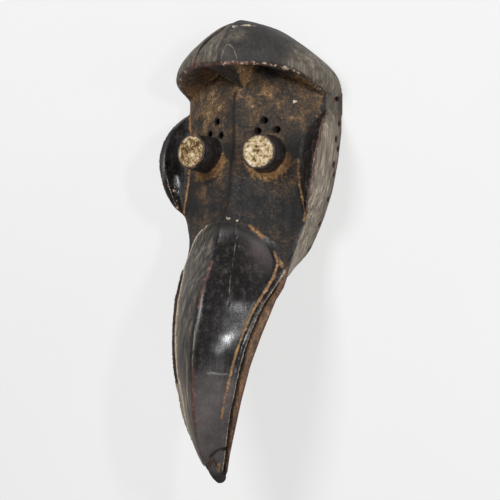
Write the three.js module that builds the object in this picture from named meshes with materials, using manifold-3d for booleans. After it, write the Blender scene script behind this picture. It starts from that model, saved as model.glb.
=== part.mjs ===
// A Dan kaogle mask: a bird spirit's head carved from one block of wood, hollow behind the face.
// Millimetres. The mask lies on the flat back of its rim, which is the plane z = 0.
// +Y runs up to the crown, the beak points to -Y, and +Z is the way that the face looks.
// Both halves are alike but for small slips of the knife, so a shape is worked out for x > 0 and mirrored.
import * as THREE from "three";
import { mergeVertices } from "three/addons/utils/BufferGeometryUtils.js";
import Module from "manifold-3d";

// Driving dimensions
const crownY = 204.5;
const chinY = -30.5;
const beakTipY = -206;
const hollowWall = 11;
const rimWidth = 9;
const eyeSpacing = 60;
const eyeY = 85;
const eyeTubeLength = 26;
const eyeTubeRadius = { base: 17, end: 15.6 };
const eyeSplay = THREE.MathUtils.degToRad(9);
const sightHoleRadius = 3;
const rimHoles = { radius: 2, height: 6, lowest: -21, highest: 180, gaps: 9 };
const tieHoles = { radius: 2.4, height: 12.5, heights: [77, 99] };
const beakStep = 1.5;
const mouthCornerY = -14.3;
const mouthSlit = { gap: 3, depth: 14 };
const beakGroove = { inset: 5.2, halfWidth: 1.2, depth: 1.3, startY: -2, endY: -150 };
const vizorLip = 4.5;
const weldDistance = 0.08;
const tongue = { halfWidth: 17, tipX: 4, tipY: 145.5 };

// A smooth curve through [at, value] stations that never overshoots them.
function curve(stations) {
  const points = [...stations].sort((a, b) => a[0] - b[0]);
  const slopes = points.slice(1).map(([at, value], i) => (value - points[i][1]) / (at - points[i][0]));
  const tangents = points.map((point, i) => {
    if (i === 0) return slopes[0];
    if (i === points.length - 1) return slopes[i - 1];
    const before = points[i][0] - points[i - 1][0];
    const after = points[i + 1][0] - points[i][0];
    const mean = (slopes[i - 1] * after + slopes[i] * before) / (before + after);
    const least = Math.min(Math.abs(slopes[i - 1]), Math.abs(slopes[i]), Math.abs(mean) / 2);
    return (Math.sign(slopes[i - 1]) + Math.sign(slopes[i])) * least;
  });
  return (at) => {
    const clamped = THREE.MathUtils.clamp(at, points[0][0], points.at(-1)[0]);
    const i = Math.min(points.findLastIndex((p) => p[0] <= clamped), points.length - 2);
    const span = points[i + 1][0] - points[i][0];
    const t = (clamped - points[i][0]) / span;
    const rise = t * t * (3 - 2 * t);
    const leave = t * (1 - t) ** 2 * span * tangents[i];
    const arrive = t * t * (t - 1) * span * tangents[i + 1];
    return points[i][1] + (points[i + 1][1] - points[i][1]) * rise + leave + arrive;
  };
}

// Evenly spaced numbers, both ends included.
function steps(from, to, count) {
  return Array.from({ length: count + 1 }, (unused, i) => from + ((to - from) * i) / count);
}

// The fall of a roof-shaped section from its ridge, 0, to its edge, 1.
const roof = (t) => 0.5 * t + 0.5 * t * t;

// Head stations, by height y
// The back rim's outline, a pointed arch above and a narrow chin below.
const rimX = curve([
  [crownY, 1], [202, 10], [189, 34], [171, 58.5], [157, 73.2], [148, 77.4], [136, 79.3],
  [110, 78.5], [81, 74.8], [50, 67.9], [32, 61.5], [10, 51.5], [-3, 43.5], [-15, 31], [-24, 21.5],
  [-29, 12], [chinY, 8],
]);
// The lowest surface: the plane that the rim lies on, and below the chin the slope that rises to the beak
const chinZ = curve([[-28, 0], [-31, 9], [-34, 24], [-38, 37], [-44, 49], [-52, 61]]);
const faceRidgeZ = curve([
  [-52, 112], [-30, 105], [-14, 98], [2, 87.3], [26, 77], [47, 68], [68, 62.5], [87, 57.5],
  [103, 54], [134, 53], [146, 49.5], [172, 41],
]);
// The seam where the flat face meets the cheek flange, and below it the corner of the cheek.
const seamX = curve([
  [-52, 24], [-44, 34], [-38, 41], [-32, 46.5], [-25, 51], [-14, 53.3], [-8, 53], [4, 55],
  [15, 57.6], [25, 61], [35, 63], [45, 60.6], [71, 56.8], [88, 57], [106, 60], [124, 68.5],
  [138, 69.5], [150, 67], [162, 58], [172, 46],
]);
const seamZ = curve([
  [-52, 70], [-38, 68], [-32, 65], [-25, 59.5], [-14, 54.5], [-8, 51.5], [4, 44.5], [15, 41],
  [25, 38.5], [35, 39.7], [71, 41.2], [88, 38.5], [106, 33], [124, 20.5], [138, 16.5], [172, 12],
]);
// The outer edge of the side wall, which is the flange's edge between y = 30 and 126.
const wallTopX = curve([
  [-52, 26], [-44, 36], [-38, 43], [-32, 48.5], [-25, 52.5], [-14, 54.2], [4, 55.6], [15, 58.1],
  [25, 61.5], [30, 63.2], [39.4, 69], [50.5, 73.9], [66, 78.3], [81, 80.9], [95, 81.3],
  [113.5, 77.2], [122, 74.3], [126, 71.8], [138, 71.3], [150, 69], [162, 60], [172, 48],
]);
const wallTopZ = curve([
  [-52, 66], [-38, 64.5], [-32, 62], [-25, 57.5], [-14, 52.5], [4, 43], [15, 39.5], [25, 37],
  [30, 38.8], [39.4, 48.3], [50.5, 53.5], [66, 56.1], [81, 54.9], [95, 49.6], [113.5, 34.5],
  [122, 21.5], [126, 15.5], [138, 14.5], [172, 10],
]);
const flangeEdge = curve([[30, 0.4], [42, 4.5], [66, 6], [94, 6], [113, 4.5], [126, 0.4]]);

// The face's surface: a low roof from its ridge to the seam.
function faceZ(x, y) {
  const ridge = faceRidgeZ(y);
  return ridge - (ridge - seamZ(y)) * roof(Math.abs(x) / seamX(y));
}

// Beak stations, by height y
const beakRidgeZ = curve([
  [-12, 99.5], [-21.5, 106.7], [-54.7, 119.6], [-80, 126.4], [-108, 129.3], [-131, 127.8],
  [-148, 126], [-165, 121.5], [-182.4, 112.5], [-195, 101], [-203, 90], [beakTipY, 84.5],
]);
const mouthX = curve([
  [25.5, 9], [23.5, 18], [20, 26], [14, 36], [4, 45], [-6, 50.5], [mouthCornerY, 52.8],
  [-29.3, 50.2], [-52, 43.9], [-80.6, 37.5], [-120.6, 29.1], [-143.8, 23.7], [-162.5, 19.4],
  [-186.2, 11.9], [-200, 5.5], [beakTipY, 1.9],
]);
const mouthZ = curve([
  [-12, 56.5], [-29.3, 68.6], [-52, 84.1], [-80.6, 97.5], [-99.7, 101.4], [-120.6, 103.4],
  [-143.8, 103.8], [-162.5, 101.2], [-186.2, 93.6], [-200, 86], [beakTipY, 82.6],
]);
const lowerX = curve([
  [mouthCornerY, 53.6], [-20, 55.6], [-29, 55.2], [-52, 50.6], [-80, 44.8], [-104, 39.1],
  [-125, 33.7], [-144, 28.7], [-165, 22], [-186, 13.6], [-200, 6.8], [beakTipY, 2],
]);
const lowerZ = curve([
  [mouthCornerY, 54.5], [-20, 59.5], [-29, 66.3], [-52, 79.3], [-80, 91.2], [-104, 97.8],
  [-125, 100], [-144, 100.5], [-165, 98.3], [-186, 91.6], [-200, 84.3], [beakTipY, 82.2],
]);
const keelZ = curve([
  [mouthCornerY, 44], [-29, 45], [-40, 52], [-52, 59], [-80, 74], [-104, 82.5], [-125, 87],
  [-144, 89], [-165, 87.5], [-186, 83], [-200, 79.3], [beakTipY, 79],
]);

// The upper beak's surface. Above the corners of the mouth it lies a step proud of the face.
function beakZ(x, y) {
  const ridge = beakRidgeZ(y);
  const own = ridge - (ridge - mouthZ(y)) * roof(Math.abs(x) / mouthX(Math.min(y, mouthCornerY)));
  return THREE.MathUtils.lerp(own, faceZ(x, y) + beakStep, THREE.MathUtils.smoothstep(y, -45, -8));
}

// Vizor stations, by share of the arch from the middle, 0, to the temple, 1
const vizorEdge = {
  x: curve([[0, 0], [0.2, 18], [0.4, 36], [0.6, 54], [0.75, 64], [0.85, 69.8], [0.94, 72.2], [1, 71]]),
  y: curve([
    [0, 167], [0.2, 167], [0.4, 166], [0.6, 162], [0.75, 156.5], [0.85, 150], [0.94, 143.5], [1, 138],
  ]),
  z: curve([[0, 84], [0.2, 79], [0.4, 69], [0.6, 56.5], [0.75, 48], [0.85, 40], [0.94, 26], [1, 14]]),
};
const vizorBack = {
  x: curve([[0, 0], [0.2, 19], [0.4, 39], [0.6, 58.5], [0.75, 69], [0.85, 74.8], [0.94, 78.6], [1, 79.4]]),
  y: curve([
    [0, crownY], [0.2, 198], [0.4, 185.5], [0.6, 171], [0.75, 161.5], [0.85, 154], [0.94, 143], [1, 131],
  ]),
};
const vizorBulge = curve([[0, 1.2], [0.2, 2.4], [0.6, 5.5], [0.85, 3], [1, 0]]);
// The forehead's profile: how far it has spread towards the back rim's outline, by depth below the edge.
const foreheadSpread = curve([
  [0, 0], [0.03, 0.26], [0.13, 0.55], [0.3, 0.9], [0.5, 1.03], [0.75, 1.03], [1, 1],
]);
const foreheadDepths = [0, 0.03, 0.08, 0.15, 0.24, 0.35, 0.5, 0.7, 0.85, 1];

// A point of the forehead's outer surface.
function foreheadPoint(share, depth) {
  const t = Math.abs(share);
  // Over the temples the dome gives way to a flat side wall.
  const spread = THREE.MathUtils.lerp(foreheadSpread(depth), depth, THREE.MathUtils.smoothstep(t, 0.85, 1));
  const lean = t * 1.1;
  const bulge = vizorBulge(t) * Math.sin(Math.PI * depth ** 0.65);
  const x = THREE.MathUtils.lerp(vizorEdge.x(t), vizorBack.x(t), spread) + bulge * Math.sin(lean);
  const y = THREE.MathUtils.lerp(vizorEdge.y(t), vizorBack.y(t), spread) + bulge * Math.cos(lean);
  return new THREE.Vector3(Math.sign(share) * x, y, vizorEdge.z(t) * (1 - depth));
}

// Loft and solid helpers
// A closed geometry through rings of points, with a fan over each end.
function loft(rings) {
  const size = rings[0].length;
  const points = rings.flat();
  const index = [];
  const next = (i) => (i + 1) % size;
  for (let r = 0; r + 1 < rings.length; r++) {
    for (let i = 0; i < size; i++) {
      const [a, b] = [r * size + i, r * size + next(i)];
      index.push(a, b, b + size, a, b + size, a + size);
    }
  }
  const sumOf = (ring) => ring.reduce((sum, point) => sum.add(point), new THREE.Vector3());
  const middleOf = (ring) => sumOf(ring).divideScalar(size);
  const lastStart = points.length - size;
  points.push(middleOf(rings[0]), middleOf(rings.at(-1)));
  for (let i = 0; i < size; i++) {
    index.push(next(i), i, points.length - 2);
    index.push(lastStart + i, lastStart + next(i), points.length - 1);
  }
  return new THREE.BufferGeometry().setFromPoints(points).setIndex(index);
}

// A full ring at height y from the half ring of [x, z] points that runs from the ridge to the underside.
function mirroredRing(half, y) {
  const right = half.map(([x, z]) => new THREE.Vector3(x, y, z));
  const left = half.slice(1, -1).reverse().map(([x, z]) => new THREE.Vector3(-x, y, z));
  return [...right, ...left];
}

const wasm = await Module();
wasm.setup();

function solidOf(geometry) {
  const bare = geometry.clone();
  bare.deleteAttribute("normal");
  bare.deleteAttribute("uv");
  const merged = mergeVertices(bare, 1e-4);
  const vertProperties = merged.attributes.position.array;
  const triVerts = new Uint32Array(merged.index.array);
  const made = new wasm.Manifold(new wasm.Mesh({ numProp: 3, vertProperties, triVerts }));
  if (made.volume() > 0) return made;
  return new wasm.Manifold(new wasm.Mesh({ numProp: 3, vertProperties, triVerts: triVerts.toReversed() }));
}

// Booleans leave some corners a hair apart: each such edge is closed up and its flat faces are dropped.
function geometryOf(solid) {
  const { vertProperties, triVerts } = solid.getMesh();
  const corner = (i) => new THREE.Vector3().fromArray(vertProperties, 3 * i);
  const same = Array.from({ length: vertProperties.length / 3 }, (unused, i) => i);
  const rootOf = (i) => (same[i] === i ? i : rootOf(same[i]));
  for (let i = 0; i < triVerts.length; i++) {
    const [a, b] = [triVerts[i], triVerts[i % 3 === 2 ? i - 2 : i + 1]];
    if (corner(a).distanceTo(corner(b)) < weldDistance) same[rootOf(a)] = rootOf(b);
  }
  const index = Array.from(triVerts, rootOf);
  const isWhole = (i) => new Set(index.slice(i, i + 3)).size === 3;
  return new THREE.BufferGeometry()
    .setAttribute("position", new THREE.BufferAttribute(vertProperties, 3))
    .setIndex(index.filter((unused, i) => isWhole(i - (i % 3))));
}

// A cylinder or cone that starts at a point and runs along a direction.
function rod(start, direction, length, startRadius, endRadius, sides) {
  const geometry = new THREE.CylinderGeometry(endRadius, startRadius, length, sides);
  geometry.translate(0, length / 2, 0);
  const along = direction.clone().normalize();
  geometry.applyQuaternion(new THREE.Quaternion().setFromUnitVectors(new THREE.Vector3(0, 1, 0), along));
  return geometry.translate(start.x, start.y, start.z);
}

// The face with its cheek flanges and side walls
function headHalfSection(y) {
  const bottom = chinZ(y);
  const seam = [seamX(y), seamZ(y)];
  const top = [wallTopX(y), wallTopZ(y)];
  const edge = flangeEdge(y);
  const dish = [THREE.MathUtils.lerp(seam[0], top[0], 0.45), THREE.MathUtils.lerp(seam[1], top[1], 0.33)];
  const wall = (share, swell) => [
    THREE.MathUtils.lerp(top[0], rimX(y), share) + swell,
    THREE.MathUtils.lerp(top[1], bottom, share),
  ];
  return [
    [0, faceRidgeZ(y)],
    ...[0.25, 0.5, 0.75].map((t) => [t * seam[0], faceZ(t * seam[0], y)]),
    seam,
    dish,
    [top[0] - edge, top[1] - 0.15 * edge],
    top,
    wall(0.3, 0.8),
    wall(0.65, 1),
    [rimX(y), bottom],
    [0, bottom],
  ];
}

function headSolid() {
  const lower = [...steps(-52, -28, 7), ...steps(-24, 27, 9)];
  const heights = [...lower, ...steps(30, 126, 24), ...steps(131, 172, 7)];
  const insideArch = (y, half) => half.map(([x, z]) => [Math.min(x, Math.max(rimX(y) - 2, 1)), z]);
  const rings = heights.map((y) => {
    const half = headHalfSection(y);
    return mirroredRing(y > 141 ? insideArch(y, half) : half, y);
  });
  return solidOf(loft(rings));
}

// The forehead and its vizor, which overhangs the face
function vizorRing(share) {
  const t = Math.abs(share);
  const side = Math.sign(share);
  const outer = foreheadDepths.map((depth) => foreheadPoint(share, depth));
  const edge = outer[0];
  const lip = vizorLip * (1 - 0.35 * t);
  const inward = new THREE.Vector3(-side * Math.sin(t * 1.1), -Math.cos(t * 1.1), -0.35).multiplyScalar(lip);
  const under = edge.clone().add(inward);
  const rootX = side * vizorEdge.x(t) * 0.93;
  const rootY = vizorEdge.y(t) + 4 * (1 - t);
  const root = new THREE.Vector3(rootX, rootY, faceZ(rootX, rootY) - 4);
  const halfway = under.clone().lerp(root, 0.5).add(new THREE.Vector3(0, 1.5, 0));
  const core = new THREE.Vector3(side * vizorEdge.x(t) * 0.6, 132, 22);
  const coreBack = new THREE.Vector3(side * vizorBack.x(t) * 0.6, 132, 0);
  return [...outer, coreBack, core, root, halfway, under];
}

function vizorSolid() {
  return solidOf(loft(steps(-1, 1, 32).map(vizorRing)));
}

// The keel under the vizor, which narrows to a point on the face
function tongueSolid() {
  const rings = steps(0, 0.97, 5).map((share) => {
    const y = THREE.MathUtils.lerp(vizorEdge.y(0) - vizorLip + 1, tongue.tipY, share);
    const front = THREE.MathUtils.lerp(vizorEdge.z(0) - 1, faceZ(0, tongue.tipY) + 0.6, share);
    const half = tongue.halfWidth * (1 - share);
    const side = front - 5 * (1 - share);
    const back = faceZ(0, y) - 6;
    const outline = [[0, front], [half, side], [half * 0.8, back], [-half * 0.8, back], [-half, side]];
    return outline.map(([x, z]) => new THREE.Vector3(x + tongue.tipX * share, y, z));
  });
  const buried = rings[0].map((point) => point.clone().add(new THREE.Vector3(0, 6, -4)));
  rings.unshift(buried);
  return solidOf(loft(rings));
}

// The beak, with the mouth's slit and the lower half's ledge along each side
function beakHalfSection(y) {
  const edgeX = mouthX(y);
  const edgeZ = beakZ(edgeX, y);
  const open = y < mouthCornerY;
  const grooved = y < beakGroove.startY && y > beakGroove.endY;
  const grooveX = edgeX - Math.min(beakGroove.inset, edgeX * 0.2);
  const grooveDepth = grooved ? beakGroove.depth : 0;
  const raised = grooved ? 0.5 : 0;
  const fromCorner = THREE.MathUtils.smoothstep(mouthCornerY - y, 0, 25);
  const fade = fromCorner * THREE.MathUtils.smoothstep(y, -204, -190);
  const slitX = open ? edgeX - Math.min(mouthSlit.depth, edgeX * 0.5) * fade - 0.4 : edgeX - 0.4;
  const gap = mouthSlit.gap * (0.2 + 0.8 * fade);
  const ledgeInner = open ? [edgeX - 0.3, edgeZ - gap] : [edgeX - 0.4, edgeZ - 6];
  const ledgeOuter = open ? [lowerX(y), Math.min(lowerZ(y), ledgeInner[1] - 0.3)] : [edgeX - 0.6, edgeZ - 9];
  const keel = open ? keelZ(y) : 44;
  const flank = open ? Math.min(4, Math.abs(ledgeOuter[1] - keel) * 0.4) : 3;
  return [
    [0, beakZ(0, y)],
    ...[0.2, 0.4, 0.6].map((t) => [t * grooveX, beakZ(t * grooveX, y)]),
    [grooveX - beakGroove.halfWidth, beakZ(grooveX - beakGroove.halfWidth, y)],
    [grooveX, beakZ(grooveX, y) - grooveDepth],
    [grooveX + beakGroove.halfWidth, beakZ(grooveX + beakGroove.halfWidth, y) + raised],
    [edgeX, edgeZ],
    [slitX, edgeZ - (open ? 0.15 + 0.45 * fade : 3)],
    [slitX, ledgeInner[1] + (open ? 0.15 : -1)],
    ledgeInner,
    ledgeOuter,
    [ledgeOuter[0] - flank * 0.5, ledgeOuter[1] - flank],
    [ledgeOuter[0] * 0.62, THREE.MathUtils.lerp(ledgeOuter[1] - flank, keel, 0.68)],
    [0, keel],
  ];
}

function beakSolid() {
  const heights = [...steps(25.5, -10, 9), -14, -16, ...steps(-20, -186, 30), ...steps(-190, beakTipY, 6)];
  return solidOf(loft(heights.map((y) => mirroredRing(beakHalfSection(y), y))));
}

// Eyes and holes
function eyeCentre(side) {
  return new THREE.Vector3((side * eyeSpacing) / 2, eyeY, faceZ(eyeSpacing / 2, eyeY));
}

function eyeTube(side) {
  const direction = new THREE.Vector3(side * Math.sin(eyeSplay), 0.13, Math.cos(eyeSplay));
  const buried = 8;
  const start = eyeCentre(side).addScaledVector(direction, -buried);
  return solidOf(rod(start, direction, eyeTubeLength + buried, eyeTubeRadius.base, eyeTubeRadius.end, 32));
}

// Three small holes over each eye let the wearer see out.
function sightHoles() {
  const places = [[-24.3, 115.5], [-18.3, 103], [-32.5, 104.5], [24.3, 115.5], [19.3, 106], [35.5, 107]];
  return places.map(([x, y]) => {
    const start = new THREE.Vector3(x, y, faceZ(x, y) + 5);
    return solidOf(rod(start, new THREE.Vector3(0, 0, -1), 30, sightHoleRadius, sightHoleRadius, 12));
  });
}

// Holes all round the rim, where the costume was sewn on, and two larger ones on each side for a tie
function wallHoles() {
  const bore = (side, y, z, radius) => {
    const slope = (rimX(y + 2) - rimX(y - 2)) / 4;
    const outward = new THREE.Vector3(side, -slope, 0).normalize();
    const start = new THREE.Vector3(side * rimX(y), y, z).addScaledVector(outward, 6);
    return solidOf(rod(start, outward.negate(), 26, radius, radius, 8));
  };
  const sewn = steps(rimHoles.lowest, rimHoles.highest, rimHoles.gaps);
  return [-1, 1].flatMap((side) => [
    ...sewn.map((y) => bore(side, y, rimHoles.height, rimHoles.radius)),
    ...tieHoles.heights.map((y) => bore(side, y, tieHoles.height, tieHoles.radius)),
  ]);
}

// The hollow for the wearer's face follows the face at the wall's thickness.
function hollowSolid() {
  const ends = { low: -14, high: 188 };
  const middle = (ends.low + ends.high) / 2;
  const reach = (ends.high - ends.low) / 2;
  const halfWidth = (y) => Math.min(rimX(y) - rimWidth, rimX(y + 13), rimX(y - 11));
  const rings = steps(ends.low, ends.high, 26).map((y) => {
    const share = Math.min(Math.abs(y - middle) / reach, 0.999);
    const depth = (1 - share ** 3) ** (1 / 2.2);
    const wide = halfWidth(y);
    const inner = Math.max(Math.min(seamX(y) - 4, wide) * 0.8, 2);
    const ceiling = (x) => Math.max(3, Math.min(faceZ(x, y) - hollowWall, 50) * depth);
    const half = [
      [0, ceiling(0)],
      [inner * 0.5, ceiling(inner * 0.5)],
      [inner, ceiling(inner) * 0.93],
      [inner + (wide - inner) * 0.7, ceiling(inner) * 0.62],
      [wide, 2],
      [wide, -2],
      [0, -2],
    ];
    return mirroredRing(half, y);
  });
  return solidOf(loft(rings));
}

// The broken tip: a flat scar across the front left of the hook
function tipBreak() {
  const box = new THREE.BoxGeometry(20, 30, 12);
  box.translate(-3, -15, 6);
  box.rotateY(THREE.MathUtils.degToRad(-22));
  box.rotateX(THREE.MathUtils.degToRad(52));
  box.translate(0, -188.5, 103);
  return solidOf(box);
}

function maskSolid() {
  const carved = [headSolid(), vizorSolid(), tongueSolid(), beakSolid(), eyeTube(-1), eyeTube(1)];
  const cuts = [hollowSolid(), ...sightHoles(), ...wallHoles(), tipBreak()];
  return cuts.reduce((whole, cut) => whole.subtract(cut), carved.reduce((whole, piece) => whole.add(piece)));
}

const darkWood = new THREE.MeshStandardMaterial({ color: 0x2c2420, roughness: 0.45, metalness: 0 });

const mask = new THREE.Mesh(geometryOf(maskSolid()), darkWood);
mask.name = "kaogle_mask";
// The origin is under the middle of the mask, on the plane that it lies on.
const extent = new THREE.Box3().setFromObject(mask);
mask.position.y = -(extent.min.y + extent.max.y) / 2;

const model = new THREE.Group();
model.add(mask);

export default model;
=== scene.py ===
"""The looks of a carved bird mask: its worn surface, its patina and the light that it is seen in.

The forms are worked out in millimetres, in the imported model's own axes, and become metres when a mesh
is made. The mask lies on the back of its rim, +Y runs up to the crown, the beak points to -Y and the face
looks to +Z.
"""
import math

import bpy
import numpy as np
from mathutils import Matrix, Vector
from mathutils.kdtree import KDTree


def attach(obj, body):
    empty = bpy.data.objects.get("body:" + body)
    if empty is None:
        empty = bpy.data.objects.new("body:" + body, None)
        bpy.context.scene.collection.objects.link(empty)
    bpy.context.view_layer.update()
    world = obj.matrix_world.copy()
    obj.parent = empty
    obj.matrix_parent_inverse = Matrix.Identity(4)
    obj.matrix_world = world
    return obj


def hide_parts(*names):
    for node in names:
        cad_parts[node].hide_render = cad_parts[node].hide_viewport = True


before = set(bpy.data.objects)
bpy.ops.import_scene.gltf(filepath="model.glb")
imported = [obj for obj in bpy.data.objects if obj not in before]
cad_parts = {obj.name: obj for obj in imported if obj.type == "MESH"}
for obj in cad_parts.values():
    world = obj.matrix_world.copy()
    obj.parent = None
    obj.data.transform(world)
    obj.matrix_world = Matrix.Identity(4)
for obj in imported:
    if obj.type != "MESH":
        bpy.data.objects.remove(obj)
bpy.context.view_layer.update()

METRES = 0.001
NODE = "kaogle_mask"

# Driving sizes, in millimetres
CROWN_Y = 204.5
CHIN_Y = -30.5
HEAD_LOW_Y = -52
HEAD_HIGH_Y = 172
FACE_TOP_Y = 141
BEAK_TOP_Y = 25.5
BEAK_TIP_Y = -206
HOLLOW_LOW_Y = -14
HOLLOW_HIGH_Y = 188
HOLLOW_HEIGHT = 50
HOLLOW_WALL = 11
RIM_WIDTH = 9
EYE_X = 30
EYE_Y = 85
EYE_LENGTH = 26
EYE_BASE_RADIUS = 17
EYE_END_RADIUS = 15.6
EYE_SPLAY = math.radians(9)
EYE_BURIED = 8
KAOLIN_RADIUS = 13.6
SIGHT_HOLE_RADIUS = 3
RIM_HOLE_RADIUS = 2
RIM_HOLE_HEIGHT = 6
RIM_HOLE_YS = np.linspace(-21, 180, 10)
TIE_HOLE_RADIUS = 2.4
TIE_HOLE_HEIGHT = 12.5
TIE_HOLE_YS = (77, 99)
BEAK_STEP = 1.5
MOUTH_CORNER_Y = -14.3
SLIT_GAP = 3
SLIT_DEPTH = 14
GROOVE_INSET = 5.2
GROOVE_START_Y = -2
GROOVE_END_Y = -150
VIZOR_LIP = 4.5
VIZOR_LEAN = 1.1
VIZOR_CORE_Y = 130
TONGUE_HALF_WIDTH = 17
TONGUE_TIP = (4, 145.5)
TIP_KNOB = (2.2, -199.8, 85.4)
TIP_KNOB_RADIUS = 5.8
TIP_BREAK_X = 7.5
TIP_BREAK_Y = -185.5
TIP_BREAK_SLOPE = 0.5
TIP_BREAK_DEPTH = 2.0
BEAK_SLOPE_Y = -49
RIDGE_UNWORN_Y = -75
RIDGE_CREAM_Y = -82
BROW_STAIN = (9, 191, 70)
SIGHT_HOLES = ((-24.3, 115.5), (-18.3, 103), (-32.5, 104.5), (24.3, 115.5), (19.3, 106), (35.5, 107))

# How finely the surface is made
RING_STEP = 1.0
VOXEL = 0.85
TRIANGLES = 194000

# A point's distance from a path is worked out this near to the path, and beyond that it counts as far
NEARBY = 25
FAR = 1e9

# The view, in metres: from straight above the face, turned 30 degrees to +X
VIEW_TURN = math.radians(30)
VIEW_DISTANCE = 2.0
VIEW_FIELD = 0.4516
SENSOR = 36
VIEW_MIDDLE = Vector((0, -0.00036, 0.029))
VIEW_BACK = Vector((math.sin(VIEW_TURN), 0, math.cos(VIEW_TURN)))
VIEW_RIGHT = Vector((math.cos(VIEW_TURN), 0, -math.sin(VIEW_TURN)))
VIEW_UP = Vector((0, 1, 0))

# Lights: the name, the direction to the right, up and back as the camera sees it, the distance, the width and
# the height in metres, and the watts
LIGHTS = (
    ("key", -0.6, 0.52, 0.7, 1.6, 0.55, 0.55, 17.5),
    ("beak", 0.352, 0.17, 0.915, 1.83, 0.09, 0.29, 11),
    ("side", 0.66, 0.12, 0.74, 1.8, 0.4, 0.5, 4),
    ("front", 0.1, -0.4, 0.9, 1.8, 0.6, 0.6, 3),
)
SKY_STRENGTH = 0.13

# The floor glows, but for an oval that the mask's hollow covers
FLOOR_HALF_SIZE = 4000
FLOOR_GLOW = 0.635
OVAL_MIDDLE_Y = 88
OVAL_HALF_WIDTH = 66
OVAL_HALF_LENGTH = 102

# The colour of near-black dirt and painted shade, as a linear colour, and the depth of the wood's fine bumps
# in metres
BLACK = (0.011, 0.0085, 0.006, 1)
BUMP_DEPTH = 0.0006


def smoothstep(value, low, high):
    t = np.clip((value - low) / (high - low), 0, 1)
    return t * t * (3 - 2 * t)


def lerp(a, b, share):
    return a + (b - a) * share


def curve(*stations):
    """A smooth curve through (at, value) stations that never overshoots them."""
    at, value = np.array(sorted(stations), float).T
    span = np.diff(at)
    slope = np.diff(value) / span
    mean = (slope[:-1] * span[1:] + slope[1:] * span[:-1]) / (span[:-1] + span[1:])
    least = np.minimum(np.minimum(abs(slope[:-1]), abs(slope[1:])), abs(mean) / 2)
    inner = (np.sign(slope[:-1]) + np.sign(slope[1:])) * least
    tangent = np.concatenate([slope[:1], inner, slope[-1:]])

    def value_at(x):
        x = np.clip(x, at[0], at[-1])
        i = np.clip(np.searchsorted(at, x, side="right") - 1, 0, len(at) - 2)
        t = (x - at[i]) / span[i]
        rise = t * t * (3 - 2 * t)
        leave = t * (1 - t) ** 2 * span[i] * tangent[i]
        arrive = t * t * (t - 1) * span[i] * tangent[i + 1]
        return value[i] + (value[i + 1] - value[i]) * rise + leave + arrive

    return value_at


def roof(t):
    """The fall of a roof-shaped section from its ridge, 0, to its edge, 1."""
    return 0.5 * t + 0.5 * t * t


# Head stations, by height y
rim_x = curve(
    (CROWN_Y, 1), (202, 10), (189, 34), (171, 58.5), (157, 73.2), (148, 77.4), (136, 79.3),
    (110, 78.5), (81, 74.8), (50, 67.9), (32, 61.5), (10, 51.5), (-3, 43.5), (-15, 31), (-24, 21.5),
    (-29, 12), (CHIN_Y, 8),
)
chin_z = curve((-28, 0), (-31, 9), (-34, 24), (-38, 37), (-44, 49), (-52, 61))
face_ridge_z = curve(
    (-52, 112), (-30, 105), (-14, 98), (2, 87.3), (26, 77), (47, 68), (68, 62.5), (87, 57.5),
    (103, 54), (134, 53), (146, 49.5), (172, 41),
)
seam_x = curve(
    (-52, 24), (-44, 34), (-38, 41), (-32, 46.5), (-25, 51), (-14, 53.3), (-8, 53), (4, 55),
    (15, 57.6), (25, 61), (35, 63), (45, 60.6), (71, 56.8), (88, 57), (106, 60), (124, 68.5),
    (138, 69.5), (150, 67), (162, 58), (172, 46),
)
seam_z = curve(
    (-52, 70), (-38, 68), (-32, 65), (-25, 59.5), (-14, 54.5), (-8, 51.5), (4, 44.5), (15, 41),
    (25, 38.5), (35, 39.7), (71, 41.2), (88, 38.5), (106, 33), (124, 20.5), (138, 16.5), (172, 12),
)
wall_top_x = curve(
    (-52, 26), (-44, 36), (-38, 43), (-32, 48.5), (-25, 52.5), (-14, 54.2), (4, 55.6), (15, 58.1),
    (25, 61.5), (30, 63.2), (39.4, 69), (50.5, 73.9), (66, 78.3), (81, 80.9), (95, 81.3),
    (113.5, 77.2), (122, 74.3), (126, 71.8), (138, 71.3), (150, 69), (162, 60), (172, 48),
)
wall_top_z = curve(
    (-52, 66), (-38, 64.5), (-32, 62), (-25, 57.5), (-14, 52.5), (4, 43), (15, 39.5), (25, 37),
    (30, 38.8), (39.4, 48.3), (50.5, 53.5), (66, 56.1), (81, 54.9), (95, 49.6), (113.5, 34.5),
    (122, 21.5), (126, 15.5), (138, 14.5), (172, 10),
)
flange_edge = curve((30, 0.4), (42, 4.5), (66, 6), (94, 6), (113, 4.5), (126, 0.4))

# Beak stations, by height y
beak_ridge_z = curve(
    (-12, 99.5), (-21.5, 106.7), (-54.7, 119.6), (-80, 126.4), (-108, 129.3), (-131, 127.8),
    (-148, 126), (-165, 121.5), (-182.4, 112.5), (-195, 101), (-203, 90), (BEAK_TIP_Y, 84.5),
)
mouth_x = curve(
    (25.5, 9), (23.5, 18), (20, 26), (14, 36), (4, 45), (-6, 50.5), (MOUTH_CORNER_Y, 52.8),
    (-29.3, 50.2), (-52, 43.9), (-80.6, 37.5), (-120.6, 29.1), (-143.8, 23.7), (-162.5, 19.4),
    (-186.2, 11.9), (-200, 5.5), (BEAK_TIP_Y, 1.9),
)
mouth_z = curve(
    (-12, 56.5), (-29.3, 68.6), (-52, 84.1), (-80.6, 97.5), (-99.7, 101.4), (-120.6, 103.4),
    (-143.8, 103.8), (-162.5, 101.2), (-186.2, 93.6), (-200, 86), (BEAK_TIP_Y, 82.6),
)
lower_x = curve(
    (MOUTH_CORNER_Y, 53.6), (-20, 55.6), (-29, 55.2), (-52, 50.6), (-80, 44.8), (-104, 39.1),
    (-125, 33.7), (-144, 28.7), (-165, 22), (-186, 13.6), (-200, 6.8), (BEAK_TIP_Y, 2),
)
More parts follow.
